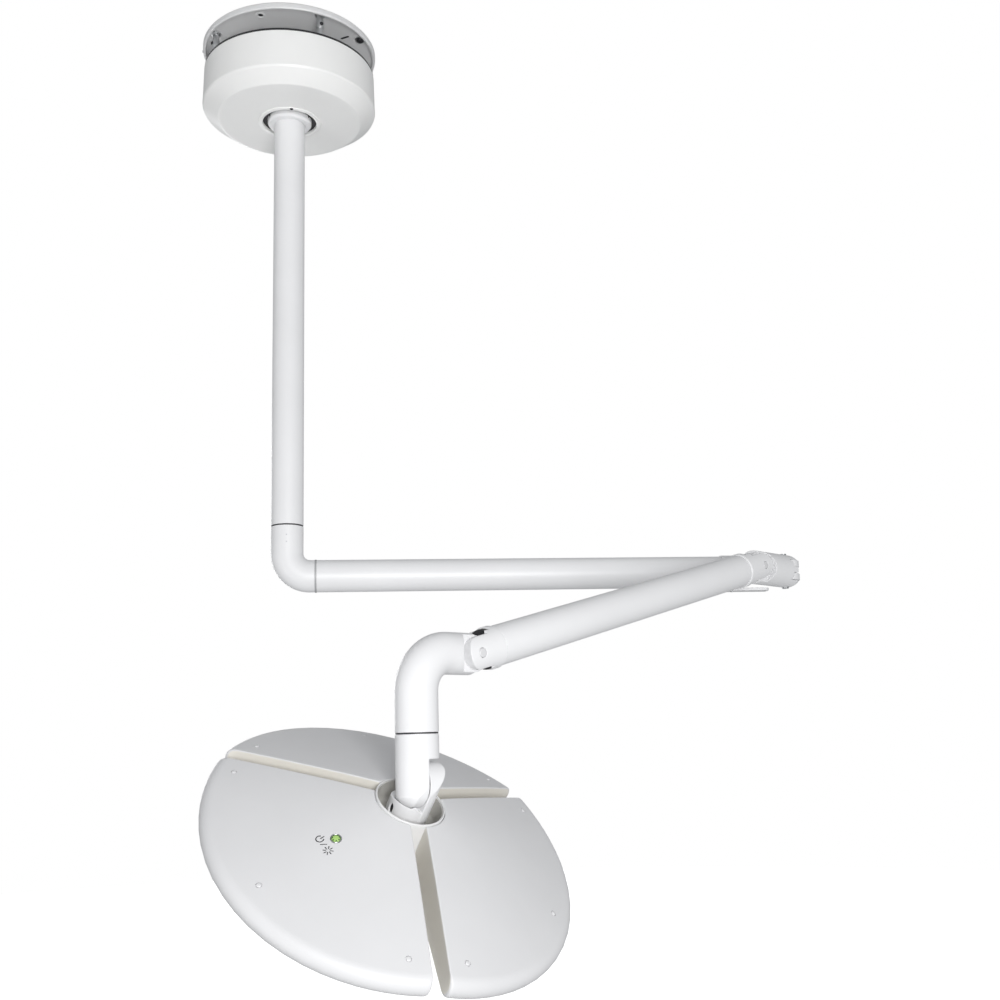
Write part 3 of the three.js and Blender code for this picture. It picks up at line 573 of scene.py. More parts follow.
def canopy():
    """Cover with a chamfered lower edge, the ring round its hole, and the collar clamped on the drop tube."""
    shell = lathe("canopy_cover_look", [
        (154, -51.5, 1.2), (155.4, -107, 3), (156, -117, 2.2), (154.2, -121, 2.5), (129, -139.4, 1.5),
        (125, -140, 1), (CANOPY_HOLE_R, -140.2, 0.8), (CANOPY_HOLE_R, -137), (124.4, -137, 2),
        (151.2, -119, 3), (153, -113, 4), (151, -51.5, 1.2)], 160)
    hole = moved(rod("hole", 2.1, -160, -120, 24), shift(30, 48, 0))
    mount_piece(cut(shell, hole), CANOPY_LIT_SHELL, "canopy_cover", angle=SOFT)
    ring = lathe("canopy_ring_look", [
        (CANOPY_HOLE_R, -140.4, 0.3), (57, -140.4, 0.4), (56, -142.4, 1.2), (51, -143.1, 1.2),
        (CANOPY_HOLE_R, -142.2, 0.8)], 128)
    mount_piece(ring, CANOPY_LIT_SHELL, "canopy_ring", angle=SOFT)
    screw = moved(pan_screw("ring_screw", 3.1, 1.5, 0.4), shift(5.5, -53, -142.6) @ FACING_DOWN)
    mount_piece(screw, DARK_STEEL)
    # black ring inside the cover's top edge: painted shadow of the canopy's dark inside
    mount_piece(tube("canopy_rim_shade", 153.4, 150.6, -51.4, -47.6, 160, fillet=0.4), BLACK)
    # black ring above the gap round the collar: painted shade of the canopy's inside
    mount_piece(tube("canopy_floor_shade", 53.5, 40, -136.4, -135.2, fillet=0.2), BLACK)
    collar = lathe("tube_collar_look", [
        (27.8, -126, 0.5), (39.5, -126, 1), (39.5, -143.4, 1.6), (36.2, -147.6, 2.2), (27.8, -148, 1)], 96)
    mount_piece(collar, ARM_PAINT, "tube_collar", angle=SOFT)
    for side, turn in (("left", -152), ("right", -28)):
        at = spin(turn) @ shift(0, 0, -137)
        mount_piece(moved(grub(f"collar_grub_{side}", 2.4, 38.4, 39.7), at), DARK_STEEL)


def bend_tube(name, start, corner, end, bend, outer, inner=0, fillet=0.8, segments=96, steps=28):
    """A right-angled bend with eased outside edges at both ends. It is solid where inner is 0."""
    start, corner, end = (np.array(p, float) for p in (start, corner, end))
    to_start = (start - corner) / np.linalg.norm(start - corner)
    to_end = (end - corner) / np.linalg.norm(end - corner)
    centre = corner + (to_start + to_end) * bend
    stations = [(start, -to_start)]
    for step in range(steps + 1):
        angle = pi / 2 * step / steps
        spot = centre - to_end * bend * cos(angle) - to_start * bend * sin(angle)
        stations.append((spot, -to_start * cos(angle) + to_end * sin(angle)))
    stations.append((end, to_end))
    side = np.cross(to_start, to_end)

    def circle(spot, along, radius):
        across = np.cross(along, side)
        angles = np.linspace(0, 2 * pi, segments, endpoint=False)
        return [tuple(spot + radius * (cos(a) * across + sin(a) * side)) for a in angles]

    eased = [(fillet * (1 - cos(t)), fillet * (1 - sin(t))) for t in np.linspace(0, pi / 2, 5)]
    (first, out_of), (last, into) = stations[0], stations[-1]
    loops = [circle(first + out_of * back, out_of, outer - inset) for back, inset in eased]
    loops += [circle(spot, along, outer) for spot, along in stations[1:-1]]
    loops += [circle(last - into * back, into, outer - inset) for back, inset in reversed(eased)]
    if not inner:
        return loft(name, loops)
    loops += [circle(spot, along, inner) for spot, along in reversed(stations)]
    return loft(name, loops, ring=True)


def seam_gap_shade(name, centre, below, above):
    """Black ring in a seam round z centre: painted shade of the gap between the two tubes."""
    return tube(name, GAP_SHADE_R, TUBE_BORE_R + GAP, centre - below, centre + above, fillet=0.1)


def drop_tube():
    body = tube("drop_tube_look", TUBE_R, TUBE_BORE_R, DROP_SEAM + 0.6, -22.3)
    mount_piece(body, ARM_PAINT, "drop_tube", angle=SOFT)
    mount_piece(seam_gap_shade("drop_gap_shade", DROP_SEAM, 1.5, 0.5), BLACK)


# ------ swing arm


def swing_arm():
    """Elbow on the drop tube, arm tube, end fork with its two finger plates, and the stop plate below it."""
    top = DROP_SEAM - 1.6 - swing_at.z / MM
    bend = bend_tube("upper_elbow_look", (0, 0, top), (0, 0, 0), (ELBOW_FACE, 0, 0), UPPER_BEND_R, TUBE_R,
                     TUBE_BORE_R)
    piece(bend, "swing", ARM_PAINT, "upper_elbow", angle=SOFT)
    for number, drop in enumerate((17, 29)):
        screw = grub(f"elbow_grub_{number + 1}", 1.3, TUBE_R - 1.2, TUBE_R + 0.05)
        piece(moved(screw, spin(-90) @ shift(0, 0, top - drop)), "swing", GRIP, slot="steel")
    # grey band round the seam: painted shade of the groove between the elbow and the arm tube
    groove_shade = tube("arm_seam_shade_band", TUBE_R + 0.7, TUBE_R + 0.05, ELBOW_FACE - 1.2, ELBOW_FACE + 1.9,
                axis="x", fillet=0.4)
    piece(groove_shade, "swing", SEAM_SHADE_GREY)
    body = tube("swing_arm_tube_look", TUBE_R, TUBE_BORE_R, ELBOW_FACE + 0.6, ARM_TUBE_END, axis="x")
    piece(body, "swing", ARM_PAINT, "swing_arm_tube", angle=SOFT)
    arm_end_fork()
    stop_plate()


def arm_end_fork():
    fork = lathe("arm_end_fork_look", [
        (0, ARM_TUBE_END - 29), (SPIGOT_R, ARM_TUBE_END - 29, 1), (SPIGOT_R, ARM_TUBE_END + 0.3),
        (28.4, ARM_TUBE_END + 0.3, 0.6), (COLLAR_R, ARM_TUBE_END + 1.6, 0.6),
        (COLLAR_R, ARM_COLLAR_END - 2.4, 1.6), (27, ARM_COLLAR_END, 2), (0, ARM_COLLAR_END)], 96, "x")
    neck_x = ARM_REACH - sqrt(PLATE_TIP_R ** 2 - NECK_HALF ** 2)
    start = atan2(-NECK_HALF, neck_x - ARM_REACH)
    tip = [(ARM_REACH + x, y) for x, y in arc_points(PLATE_TIP_R, start, -start, 49)]
    root = ARM_COLLAR_END - 6
    outline = [(root, -NECK_HALF), *tip, (root, NECK_HALF)]
    plates = [prism("finger", outline, low, low + PLATE_HIGH - PLATE_LOW) for low in (PLATE_LOW, -PLATE_HIGH)]
    bore = moved(rod("bore", PIN_R + GAP, -FAR, FAR), shift(ARM_REACH, 0, 0))
    body = cast(cut(join(fork, *plates), bore))
    piece(body, "swing", ARM_PAINT, "arm_end_fork", angle=None)


def stop_plate():
    low, high = -COLLAR_R - 5.6, -COLLAR_R - 0.6
    outline = [(764, -12, 2), (840, -12, 5), (846, -6, 3), (846, 12, 3), (764, 12, 2)]
    lug = prism("stop_plate_look", outline, low, high)
    edge = lug.modifiers.new("edge", "BEVEL")
    edge.width, edge.segments, edge.limit_method, edge.angle_limit = 0.8, 3, "ANGLE", 0.7
    piece(apply_modifiers(lug), "swing", ARM_PAINT, "stop_plate", angle=SOFT)
    for number, x in enumerate((769, 779)):
        screw = moved(pan_screw(f"stop_screw_{number + 1}", 3, 3), shift(x, 0, low) @ FACING_DOWN)
        piece(screw, "swing", STEEL)


# ------ knuckle


def tongue(body, at, direction):
    """Cheeks cut away round a hinge pin on both sides, tip rounded and pin bored."""
    cutters = []
    for side in (-1, 1):
        round_cheek = rod("cheek", SHOULDER_R, TONGUE_HALF, FAR, 96, "y")
        open_cheek = block("open", (0, TONGUE_HALF, -FAR), (FAR, FAR, FAR))
        both = join(round_cheek, open_cheek)
        if side < 0:
            moved(both, FACING_DOWN)
        cutters.append(both)
    tip = rod("round", TONGUE_TIP_R, -FAR - 1, FAR + 1, 96, "y")
    beyond = cut(block("beyond", (0, -FAR, -FAR), (FAR, FAR, FAR)), tip)
    cutters += [beyond, rod("bore", PIN_R + GAP, -FAR, FAR, 48, "y")]
    for cutter in cutters:
        if direction < 0:
            moved(cutter, spin(180))
        moved(cutter, shift(at, 0, 0))
    return cut(body, *cutters)


MIDDLE_LOBE = 5.6
LOBE_GAP = 2
FINGER_GAP = 0.6  # round the swing arm's fingers
FINGER_SWEEP = 255  # degrees round the pin that the fingers' necks need free


def knuckle():
    """Round body with lobes round the swing pin, slots for the arm's fingers, and a tongue."""
    barrel = lathe("knuckle_look", [
        (0, -LOBE_R), (COLLAR_R - 8, -LOBE_R, 3), (COLLAR_R - 2.6, -LOBE_R + 5, 5),
        (COLLAR_R, -LOBE_R + 14, 8), (COLLAR_R, KNUCKLE_REACH + 30), (0, KNUCKLE_REACH + 30)], 128, "x")
    body = tongue(barrel, KNUCKLE_REACH, 1)
    fold = -FOLD / DEG
    for bottom in (PLATE_LOW, -PLATE_HIGH):
        low, high = bottom - FINGER_GAP, bottom + PLATE_HIGH - PLATE_LOW + FINGER_GAP
        arc = arc_points(70, (fold - FINGER_SWEEP) * DEG, fold * DEG, 65)
        sweep = prism("sweep", [(0, 0), *arc], low, high)
        half = NECK_HALF + FINGER_GAP
        neck = moved(block("neck", (0, -half, low), (75, half, high)), spin(fold))
        body = cut(body, rod("disc", PLATE_TIP_R + FINGER_GAP, low, high, 96), sweep, neck)
    body = cut(body, block("gap", (-FAR, -FAR, -MIDDLE_LOBE), (-LOBE_GAP, FAR, MIDDLE_LOBE)),
               rod("bore", PIN_R + GAP, -FAR, FAR, 48))
    piece(cast(body), "knuckle", ARM_PAINT, "knuckle", angle=None)


# ------ balance arm


def hinge_fork(name):
    """Fork end of the arm: round ears either side of a slot, a turned collar and a spigot for the tube."""
    body = lathe(name, [
        (0, -EAR_R - 4), (COLLAR_R, -EAR_R - 4), (COLLAR_R, COLLAR_END - 1.6, 0.8),
        (COLLAR_R - 1.5, COLLAR_END, 0.6), (SPIGOT_R, COLLAR_END), (SPIGOT_R, COLLAR_END + 20, 1),
        (0, COLLAR_END + 20)], 128, "x")
    arc = arc_points(EAR_R, pi, pi / 2, 33)
    outline = [(-FAR, -2), (-EAR_R - 0.5, -2), *arc, (EAR_END, EAR_R), (EAR_END, FAR), (-FAR, FAR)]
    above = moved(prism("above", outline, -FAR, FAR), spin(90, "X"))
    below = moved(prism("below", outline, -FAR, FAR), spin(-90, "X"))
    half = TONGUE_HALF + GAP
    slot = block("slot", (-FAR, -half, -FAR), (SLOT_DEPTH, half, FAR))
    return cast(cut(body, above, below, slot, rod("bore", PIN_R + 0.5, -FAR, FAR, 48, "y")))


def hinge_pin(name):
    """Pin whose two slightly domed ends sit flush in the fork's ears."""
    end = COLLAR_R + 0.15
    crown_r, side_r = PIN_R - 0.8, PIN_R + 0.1
    return lathe(name, [
        (0, -end), (crown_r, -end + 0.1, 1), (side_r, -end + 0.9, 0.5), (side_r, end - 0.9, 0.5),
        (crown_r, end - 0.1, 1), (0, end)], 64, "y")


def slot_buffer(name):
    """Black rubber stop at the bottom of a fork's slot."""
    half = TONGUE_HALF - 0.2
    return cut(rod(name, TUBE_R - GAP, SLOT_DEPTH - 8, SLOT_DEPTH - 0.2, 96, "x", 0.8),
               block("side", (0, half, -FAR), (FAR, FAR, FAR)),
               block("side", (0, -FAR, -FAR), (FAR, -half, FAR)))


def balance_arm():
    ends = ("upper", "balance"), ("lower", "lower_fork")
    for end, place in ends:
        piece(slot_buffer(f"{end}_slot_buffer"), place, BLACK)
    for end, place in ends:
        piece(hinge_fork(f"{end}_fork_look"), place, ARM_PAINT, f"{end}_fork", angle=None)
    body = tube("balance_tube_look", TUBE_R, TUBE_BORE_R, COLLAR_END + 0.6, BALANCE_REACH - COLLAR_END - 0.6,
                axis="x")
    piece(body, "balance", ARM_PAINT, "balance_tube", angle=SOFT)
    piece(hinge_pin("upper_hinge_pin_look"), "balance", PIN_METAL, "upper_hinge_pin", angle=SOFT)
    screw = grub("balance_grub", 2.2, TUBE_R - 1, TUBE_R + 0.1)
    piece(moved(screw, shift(335, 0, 0) @ spin(90, "Y")), "balance", DARK_STEEL)


def lower_elbow():
    """Bend from the lower hinge's tongue down to the seam where the yoke turns."""
    seam = -YOKE_SEAM_DROP
    bend = bend_tube("lower_elbow_look", (-30, 0, 0), (ELBOW_REACH, 0, 0), (ELBOW_REACH, 0, seam + 0.8),
                     LOWER_BEND_R, TUBE_R)
    mouth = moved(rod("mouth", TUBE_BORE_R, seam - 5, seam + 24), shift(ELBOW_REACH, 0, 0))
    body = cut(tongue(bend, 0, -1), mouth)
    piece(cast(body, voxel=0.65), "elbow", YOKE_PAINT, "lower_elbow", angle=None)
    # black ring in the seam: painted shade of the gap
    gap_shade = seam_gap_shade("yoke_gap_shade", seam, 0.7, 0.7)
    piece(moved(gap_shade, shift(ELBOW_REACH, 0, 0)), "elbow", BLACK)
    piece(hinge_pin("lower_hinge_pin_look"), "elbow", PIN_METAL, "lower_hinge_pin", angle=SOFT)


# ------ yoke
TIP_BALL_R = 31
FOOT_R = 26.5
FOOT_TOP = -20
FOOT_SLANT = 0.32
NOTCH_LOW = -24
NOTCH_LEAN = 39.4
POCKET_R = 28.3
POCKET_BALL_R = 32
CABLE_HOLE_DROP = 14  # below the top of the bracket's foot


def ball(radius):
    arc = arc_points(radius, -pi / 2, pi / 2, 65)
    return lathe("ball", [(0, -radius), *arc[1:-1], (0, radius)], 128)


def yoke():
    """Neck under the elbow, cut back to half its width where the bracket laps it, with a rounded tip."""
    top = TILT_DROP - 0.8
    cut_z = TILT_DROP - YOKE_CUT_DROP
    body = lathe("yoke_tube_look", [(0, -40), (TUBE_R, -40), (TUBE_R, top, 0.9), (0, top)], 128)
    tip = common(rod("tip", TUBE_R, -FAR - 1, FAR + 1, 128, "x"), ball(TIP_BALL_R))
    beyond = cut(block("beyond", (-FAR, -FAR, -FAR), (FAR, FAR, 0)), tip)
    body = cut(body, beyond, rod("mouth", TUBE_BORE_R, cut_z + 12, top + 10),
               block("lap", (-LAP_FACE, -FAR, -FAR), (FAR, FAR, cut_z)),
               rod("bore", PIN_R + GAP, -23.3, FAR, 48, "x"))
    piece(cast(body), "yoke", YOKE_PAINT, "yoke_tube", angle=None)


def head_bracket():
    """The lap's other half: an ear on the tilt pin, and a round foot in the hub with an oblong cable hole."""
    foot_low = -RIM_DROP + hub_top() - WELL_DEPTH + 0.5
    ear = rod("head_bracket_look", TUBE_R, -40, 40, 128)
    tip = rod("round", TUBE_R, -FAR - 1, FAR + 1, 128, "x")
    ear = cut(ear, cut(block("beyond", (-FAR, -FAR, 0), (FAR, FAR, FAR)), tip),
              block("lap", (-FAR, -FAR, -FAR), (LAP_FACE, FAR, FAR)))
    foot = lathe("foot", [(0, -5), (FOOT_R, -5), (FOOT_R, foot_low, 1), (0, foot_low)], 128)
    above = moved(block("above", (-FAR, -FAR, 0), (LAP_FACE, FAR, FAR)),
                  shift(0, 0, FOOT_TOP) @ Matrix.Rotation(-atan(FOOT_SLANT), 4, "X"))
    notch = moved(block("notch", (-FAR, -FAR, 0), (0, FAR, FAR)),
                  shift(LAP_FACE, 0, NOTCH_LOW) @ spin(NOTCH_LEAN, "Y"))
    pocket = common(rod("pocket", POCKET_R, -FAR, LAP_FACE, 128, "x"), ball(POCKET_BALL_R))
    hole_at = shift(0, 0, FOOT_TOP - CABLE_HOLE_DROP) @ spin(-90, "Y")
    hole = moved(rod("slot", 3.5, 5, 40, 48), hole_at @ Matrix.Diagonal((1.9, 1, 1, 1)))
    body = join(ear, cut(foot, above, notch, pocket))
    wires = rod("wires", 7, foot_low - 5, FOOT_TOP - CABLE_HOLE_DROP - 3)
    body = cut(body, rod("bore", PIN_R + GAP, -FAR, FAR, 48, "x"), hole, wires)
    piece(cast(body), "head", YOKE_PAINT, "head_bracket", angle=None)
    grommet = rod("cable_grommet", 3.3, 23, 24.6, 48, fillet=0.3)
    piece(moved(grommet, hole_at @ Matrix.Diagonal((1.93, 1, 1, 1))), "head", BLACK)


# ------ lamp head


def dome(radius, off_mid):
    """Height of a petal's top above the rim plane, off_mid degrees from its middle."""
    along = radius * (1 - FLATNESS + FLATNESS * cos(off_mid * DEG))
    return DOME * (1 - (along / LAMP_R) ** DOME_POWER)


def hub_top():
    """Height of the hub's edge above the rim plane, level with the petals' inner ends."""
    return dome(HUB_R, 30)


SIDE_FILLET = 2.0  # along the channel walls
INNER_FILLET = 2.0  # round the hub
CORNER_R = 4.5
UNDER_MID = dome(LAMP_R - EDGE_R, 0) - 2 * EDGE_R
HOLLOW_DEPTH = 30  # how far the cutter for the inside reaches below the petal
# rows of points across a petal, by their distance from the channel wall along the rim
ROW_DISTANCES = (5, 6.5, 8, 10, 12.5, 16, 24, 36, 50, 66, 84, 104, 126, 150, 176, 204, 232)
HALF_ARC = PETAL_HALF * DEG * LAMP_R


def under(x):
    """Height of a petal's leaning underside, x outwards along its middle."""
    return UNDER_MID + (LAMP_R - EDGE_R - x) * UNDER_SLOPE


def along_line(radius, angle, side):
    """Plan point at a radius on a line at an angle, shifted sideways from the lamp's axis."""
    along = sqrt(radius * radius - side * side)
    x, y = polar(1, angle)
    return along * x - side * y, along * y + side * x


def rim_radius(from_wall):
    """Radius of the rim near a channel wall, where the plan's corner is rounded."""
    corner = max(0.0, CORNER_R - from_wall)
    return LAMP_R - CORNER_R + sqrt(CORNER_R ** 2 - corner ** 2)


def petal_section(angle, side, inset, from_wall, wall):
    """Closed section of a petal along a line, lowered by inset. wall is 0, or the cover's for the hollow."""
    shrink = inset + wall

    def spot(radius, height=None):
        x, y = along_line(radius, angle, side)
        off = degrees(atan2(y, x))
        return np.array((x, y, dome(radius, off) - shrink if height is None else height)), off

    centre_r = rim_radius(from_wall) - EDGE_R
    off = spot(centre_r)[1]
    lean = atan((dome(centre_r, off) - dome(centre_r + 6, off)) / 6)
    touch_r = centre_r + EDGE_R * sin(lean)
    centre_z = dome(touch_r, off) - EDGE_R * cos(lean)
    inner = PETAL_INNER_R + wall
    points = []
    ease = 0.0 if wall else INNER_FILLET
    if ease:
        for turn in np.linspace(0, pi / 2, 6)[:-1]:
            radius = inner + ease * (1 - cos(turn))
            points.append(spot(radius)[0] - (0, 0, ease * (1 - sin(turn))))
    for radius in np.linspace(inner + ease, touch_r - 2, 20):
        points.append(spot(radius)[0])
    for turn in np.linspace(pi / 2 - lean, -pi / 2, 15):
        small = EDGE_R - shrink
        points.append(spot(centre_r + small * cos(turn), centre_z + small * sin(turn))[0])
    low = centre_z - EDGE_R + shrink
    if wall:
        points.append(spot(centre_r, low - HOLLOW_DEPTH)[0])
        points.append(spot(inner, low)[0] * (1, 1, 0) + (0, 0, UNDER_MID - HOLLOW_DEPTH))
        return points
    for radius in np.linspace(centre_r - 6, inner, 8):
        at = spot(radius, 0)[0]
        points.append(at + (0, 0, under(at[0]) + inset))
    return points


def petal_body(name, wall=0.0):
    """Petal lofted from channel wall to channel wall, with eased edges along both walls."""
    half_width = CHANNEL / 2 + wall
    rows = []
    fillet = 0.01 if wall else SIDE_FILLET
    for turn in np.linspace(0, pi / 2, 7):
        away = fillet * (1 - cos(turn))
        rows.append((float(PETAL_HALF), half_width + away, fillet * (1 - sin(turn)), away + wall))
    for away in (fillet + 0.8, *ROW_DISTANCES):
        angle = PETAL_HALF * (1 - (away - fillet) / HALF_ARC)
        rows.append((angle, (half_width + fillet) * angle / PETAL_HALF, 0.0, away + wall))
    mirrored = [(-angle, -side, inset, away) for angle, side, inset, away in rows]
    middle = [(0.0, 0.0, 0.0, HALF_ARC)]
    loops = [petal_section(angle, -side, inset, away, wall)
             for angle, side, inset, away in rows + middle + mirrored[::-1]]
    return loft(name, loops)


def top_at(x, y):
    """Height of a petal's top above the rim plane, at a place in the petal's own plan."""
    return dome(hypot(x, y), degrees(atan2(y, x)))


def surface_lean(x, y):
    """Matrix that stands on the petal's top at (x, y), square to it."""
    slope_x = (top_at(x + 1, y) - top_at(x - 1, y)) / 2
    slope_y = (top_at(x, y + 1) - top_at(x, y - 1)) / 2
    turn = Vector((-slope_x, -slope_y, 1)).to_track_quat("Z", "Y").to_matrix().to_4x4()
    return shift(x, y, top_at(x, y)) @ turn


def on_channel_wall(polygon):
    """True for the outside of a petal's two walls along the channels, measured in the petal's own frame."""
    for side in (1, -1):
        out = Vector((-sin(PETAL_HALF * DEG), side * cos(PETAL_HALF * DEG), 0))
        if polygon.normal.dot(out) > 0.97 and polygon.center.dot(out) > -CHANNEL / 2 - 0.6:
            return True
    return False


def petal_covers():
    """Three alike shells with recesses for the plugs. Petal a also has the button's hole."""
    plain = cut(petal_body("petal_cover_b_look"), petal_body("hollow", COVER_WALL))
    spots = [polar(PLUG_R, angle) for angle in PLUG_ANGLES]
    for x, y in spots:
        plain = cut(plain, moved(rod("recess", 3.7, -1.2, 6, 40), surface_lean(x, y)))
    for letter in "abc":
        petal = "petal_" + letter
        cover = linked(f"petal_cover_{letter}_look", plain.data.copy())
        if letter == "a":
            hole = moved(rod("hole", BUTTON_R + 1.9, -8, 6, 64), surface_lean(BUTTON_AT_R, 0))
            cover = cut(cover, hole)
        # faces on the channel walls get the second material, painted shade and bounce light
        walls = [polygon.index for polygon in cover.data.polygons if on_channel_wall(polygon)]
        piece(cover, petal, PETAL_SHELL, "petal_cover_" + letter, angle=32)
        cover.data.materials.append(PETAL_WALL_SHADE)
        for index in walls:
            cover.data.polygons[index].material_index = 1
        for number, (x, y) in enumerate(spots):
            plug = lathe(f"plug_{letter}_{number + 1}", [
                (0, -1.1), (3.1, -1.1), (3.1, 0.1, 0.5), (2.2, 0.75, 0.7), (0, 1)], 40)
            piece(moved(plug, surface_lean(x, y)), petal, PETAL_SHELL)
    drop_object(plain)


def plate_on_under(name, inner_r, rim_inset, side_inset, low, high):
    """Panel that follows a petal's leaning underside between two heights above it."""
    loops = []
    half = CHANNEL / 2 + side_inset
    for away in (0, 1, 2.5, 4.5, 7, 10, 13, 30, 60, 100, 150, 200, HALF_ARC):
        angle = PETAL_HALF * (1 - away / HALF_ARC)
        rim = rim_radius(away) - rim_inset
        for sign in (1, -1) if away < HALF_ARC else (1,):
            section = []
            for radius, height in ((inner_r, low), (inner_r, high), (rim, high), (rim, low)):
                x, y = along_line(radius, angle, -half * angle / PETAL_HALF)
                section.append((x, sign * y, under(x) + height))
            loops.append((sign * angle, section))
    return loft(name, [section for _, section in sorted(loops, key=lambda pair: -pair[0])])


LED_ROWS = {92: (-19, 19), 136: (-32, 0, 32), 178: (-39, -13, 13, 39)}  # angles on each radius
LED_SPOTS = [(radius, angle) for radius, angles in LED_ROWS.items() for angle in angles]


def led_optic(name, radius):
    """Collimator lens: a clear cone on the board with a stepped face."""
    return lathe(name, [
        (0, 16.6), (radius * 0.42, 16.6, 0.4), (radius, 7, 0.8), (radius, 5.4, 0.6), (radius * 0.86, 5, 0.3),
        (radius * 0.8, 5.8, 0.3), (0, 6.2)], 40)


def petal_insides():
    """Lens panel, and the nine collimators with their holders above it, in each petal."""
    slope = atan(UNDER_SLOPE)
    for letter in "abc":
        petal = "petal_" + letter
        panel = plate_on_under(f"lens_panel_{letter}_look", 52, 18, 3.2, 1, 4)
        piece(panel, petal, CLEAR, "lens_panel_" + letter)
        optics, holders = [], []
        for radius, angle in LED_SPOTS:
            x, y = polar(radius, angle)
            stand = shift(x, y, under(x)) @ Matrix.Rotation(slope, 4, "Y")
            optics.append(moved(led_optic("optic", 15.5), stand))
            holder = lathe("holder", [(6.8, 16.9), (17.4, 16.9, 0.5), (17.4, 9, 0.6), (16, 9, 0.4),
                                      (16, 15.4, 0.4), (6.8, 15.4)], 48)
            holders.append(moved(holder, stand))
        piece(merged("led_optics_" + letter, optics), petal, OPTIC)
        piece(merged("led_holders_" + letter, holders), petal, ALUMINIUM)


def on_top(points, x0, y0, low, high, name):
    """Thin raised print on petal A: a strip outline laid on the top surface round (x0, y0)."""
    spots = [(x0 + x, y0 + y) for x, y in points]
    return loft(name, [[(x, y, top_at(x, y) + up) for x, y in spots] for up in (low, high)])


def bar(start, end, width):
    a, b = np.array(start, float), np.array(end, float)
    along = (b - a) / np.linalg.norm(b - a)
    across = np.array((-along[1], along[0])) * width / 2
    return [a + across, a - across, b - across, b + across]


def arc_strip(radius, width, start, end, steps=40):
    return (arc_points(radius + width / 2, start * DEG, end * DEG, steps)
            + arc_points(radius - width / 2, end * DEG, start * DEG, steps))


POWER_AT, SLASH_AT, SUN_AT = (130.7, -10.7), (130.7, -0.8), (133.1, 8.6)


def controls():
    """Green lit button in its bezel with the power, slash and brightness marks beside it."""
    seat = surface_lean(BUTTON_AT_R, 0)
    bore_r, outer_r = BUTTON_R + 0.3, BUTTON_R + 1.5
    bezel = lathe("button_bezel_look", [
        (bore_r, -4, 0.2), (outer_r, -4, 0.3), (outer_r, 0.3, 0.4), (BUTTON_R + 0.9, 0.7, 0.3),
        (bore_r, 0.3, 0.3)], 64)
    piece(moved(bezel, seat), "petal_a", STEEL, "button_bezel", slot="black_plastic")
    cap = lathe("push_button_look", [
        (0, -6), (BUTTON_R, -6, 0.3), (BUTTON_R, -0.2, 0.5), (BUTTON_R - 1.6, 0.9, 0.8), (0, 1.4)], 64)
    piece(moved(cap, seat), "button", GLOW, "push_button")
    vanes = []
    for number in range(7):
        vane = [(3.4, -0.5), (5.0, -0.9), (5.0, 0.9), (3.4, 0.2)]
        shape = loft("vane", [[(x, y, z - 0.28 * x) for x, y in vane] for z in (1.7, 2.35)])
        vanes.append(moved(shape, seat @ spin(20 + number * 360 / 7)))
    piece(merged("button_vanes", vanes), "button", GREEN_EDGE)
    strips = [("power_ring", arc_strip(4.4, 1.25, 180 + 38, 180 + 322), POWER_AT),
              ("power_bar", bar((-6.2, 0), (-0.6, 0), 1.25), POWER_AT),
              ("slash", bar((4.5, -3.05), (-2.2, 1.53), 1.0), SLASH_AT)]
    for number in range(8):
        ray = np.array((cos(number * pi / 4), sin(number * pi / 4)))
        strips.append((f"sun_ray_{number}", bar(ray * 2.2, ray * 6.2, 1.1), SUN_AT))
    printed = [on_top(points, *at, 0.02, 0.14, name) for name, points, at in strips]
    piece(merged("control_marks", printed), "petal_a", PRINT, angle=None)


def hub():
    """Round body with a deep well, a darker liner in it that paints the well's shade, and the cover below with its
    screws.
    """
    top = hub_top()
    floor = top - WELL_DEPTH
    outer = HUB_OUTER_R
    bowl = lathe("hub_body_look", [
        (7.5, floor, 0.3), (HUB_R - 1.5, floor, 5), (HUB_R, top + 0.6, 0.9), (outer - 0.4, top + 0.4, 1.1),
        (outer, top - 3, 0.5), (outer, 3), (outer - 3, 3), (outer - 3, floor - 8, 3), (7.5, floor - 8)], 128)
    piece(bowl, "lamp", HUB_SHELL, "hub_body")
    # thin darker liner over the well's wall and floor: painted shade of the well
    liner = lathe("hub_well_shade_liner", [
        (28, floor + 0.2), (HUB_R - 1.8, floor + 0.2, 5), (HUB_R - 0.3, top - 2.2),
        (HUB_R - 1.1, top - 2.2, 0.2), (HUB_R - 2.6, floor + 0.8, 5), (28, floor + 0.8)], 128)
    piece(liner, "lamp", HUB_WELL_SHADE)
    cover = lathe("hub_bottom_cover_look", [
        (12.2, 2.6), (outer, 2.6, 0.4), (outer, -1.4, 1.5), (outer - 5, -5, 2), (15, -5, 0.8),
        (12.2, -5, 0.5)], 128)
    piece(cover, "lamp", HUB_SHELL, "hub_bottom_cover")
    for number in range(3):
        screw = pan_screw(f"hub_screw_{number + 1}", 2.8, 2)
        piece(moved(screw, round_at(37, 90 + 120 * number, -5) @ FACING_DOWN), "lamp", STEEL)


def handle():
    """Removable grip: bell-mouthed skirt over a waisted grip with finger rings."""
    outline = [(12.4, -5.7), (26, -5.7, 0.8), (27, -8.4, 1), (20.6, -14, 5), (17.4, -25, 4)]
    for ring in range(5):
        z = -31 - ring * 9
        swell = 18 + 0.5 * ring
        outline += [(swell - 1.1, z, 1.2), (swell, z - 2.4, 1.4), (swell, z - 5.4, 1.4),
                    (swell - 1.1, z - 7.8, 1.2)]
    outline += [(19.4, -80, 3), (17.5, -87.5, 3), (11, -92, 3), (0, -92), (0, -24), (12.4, -24, 0.5)]
    piece(lathe("sterile_handle_look", outline, 96), "lamp", GRIP, "sterile_handle", angle=SOFT)


# ------ studio
FLOOR_Z, FLOOR_R = -2440, 9000
AMBIENT = 0.42
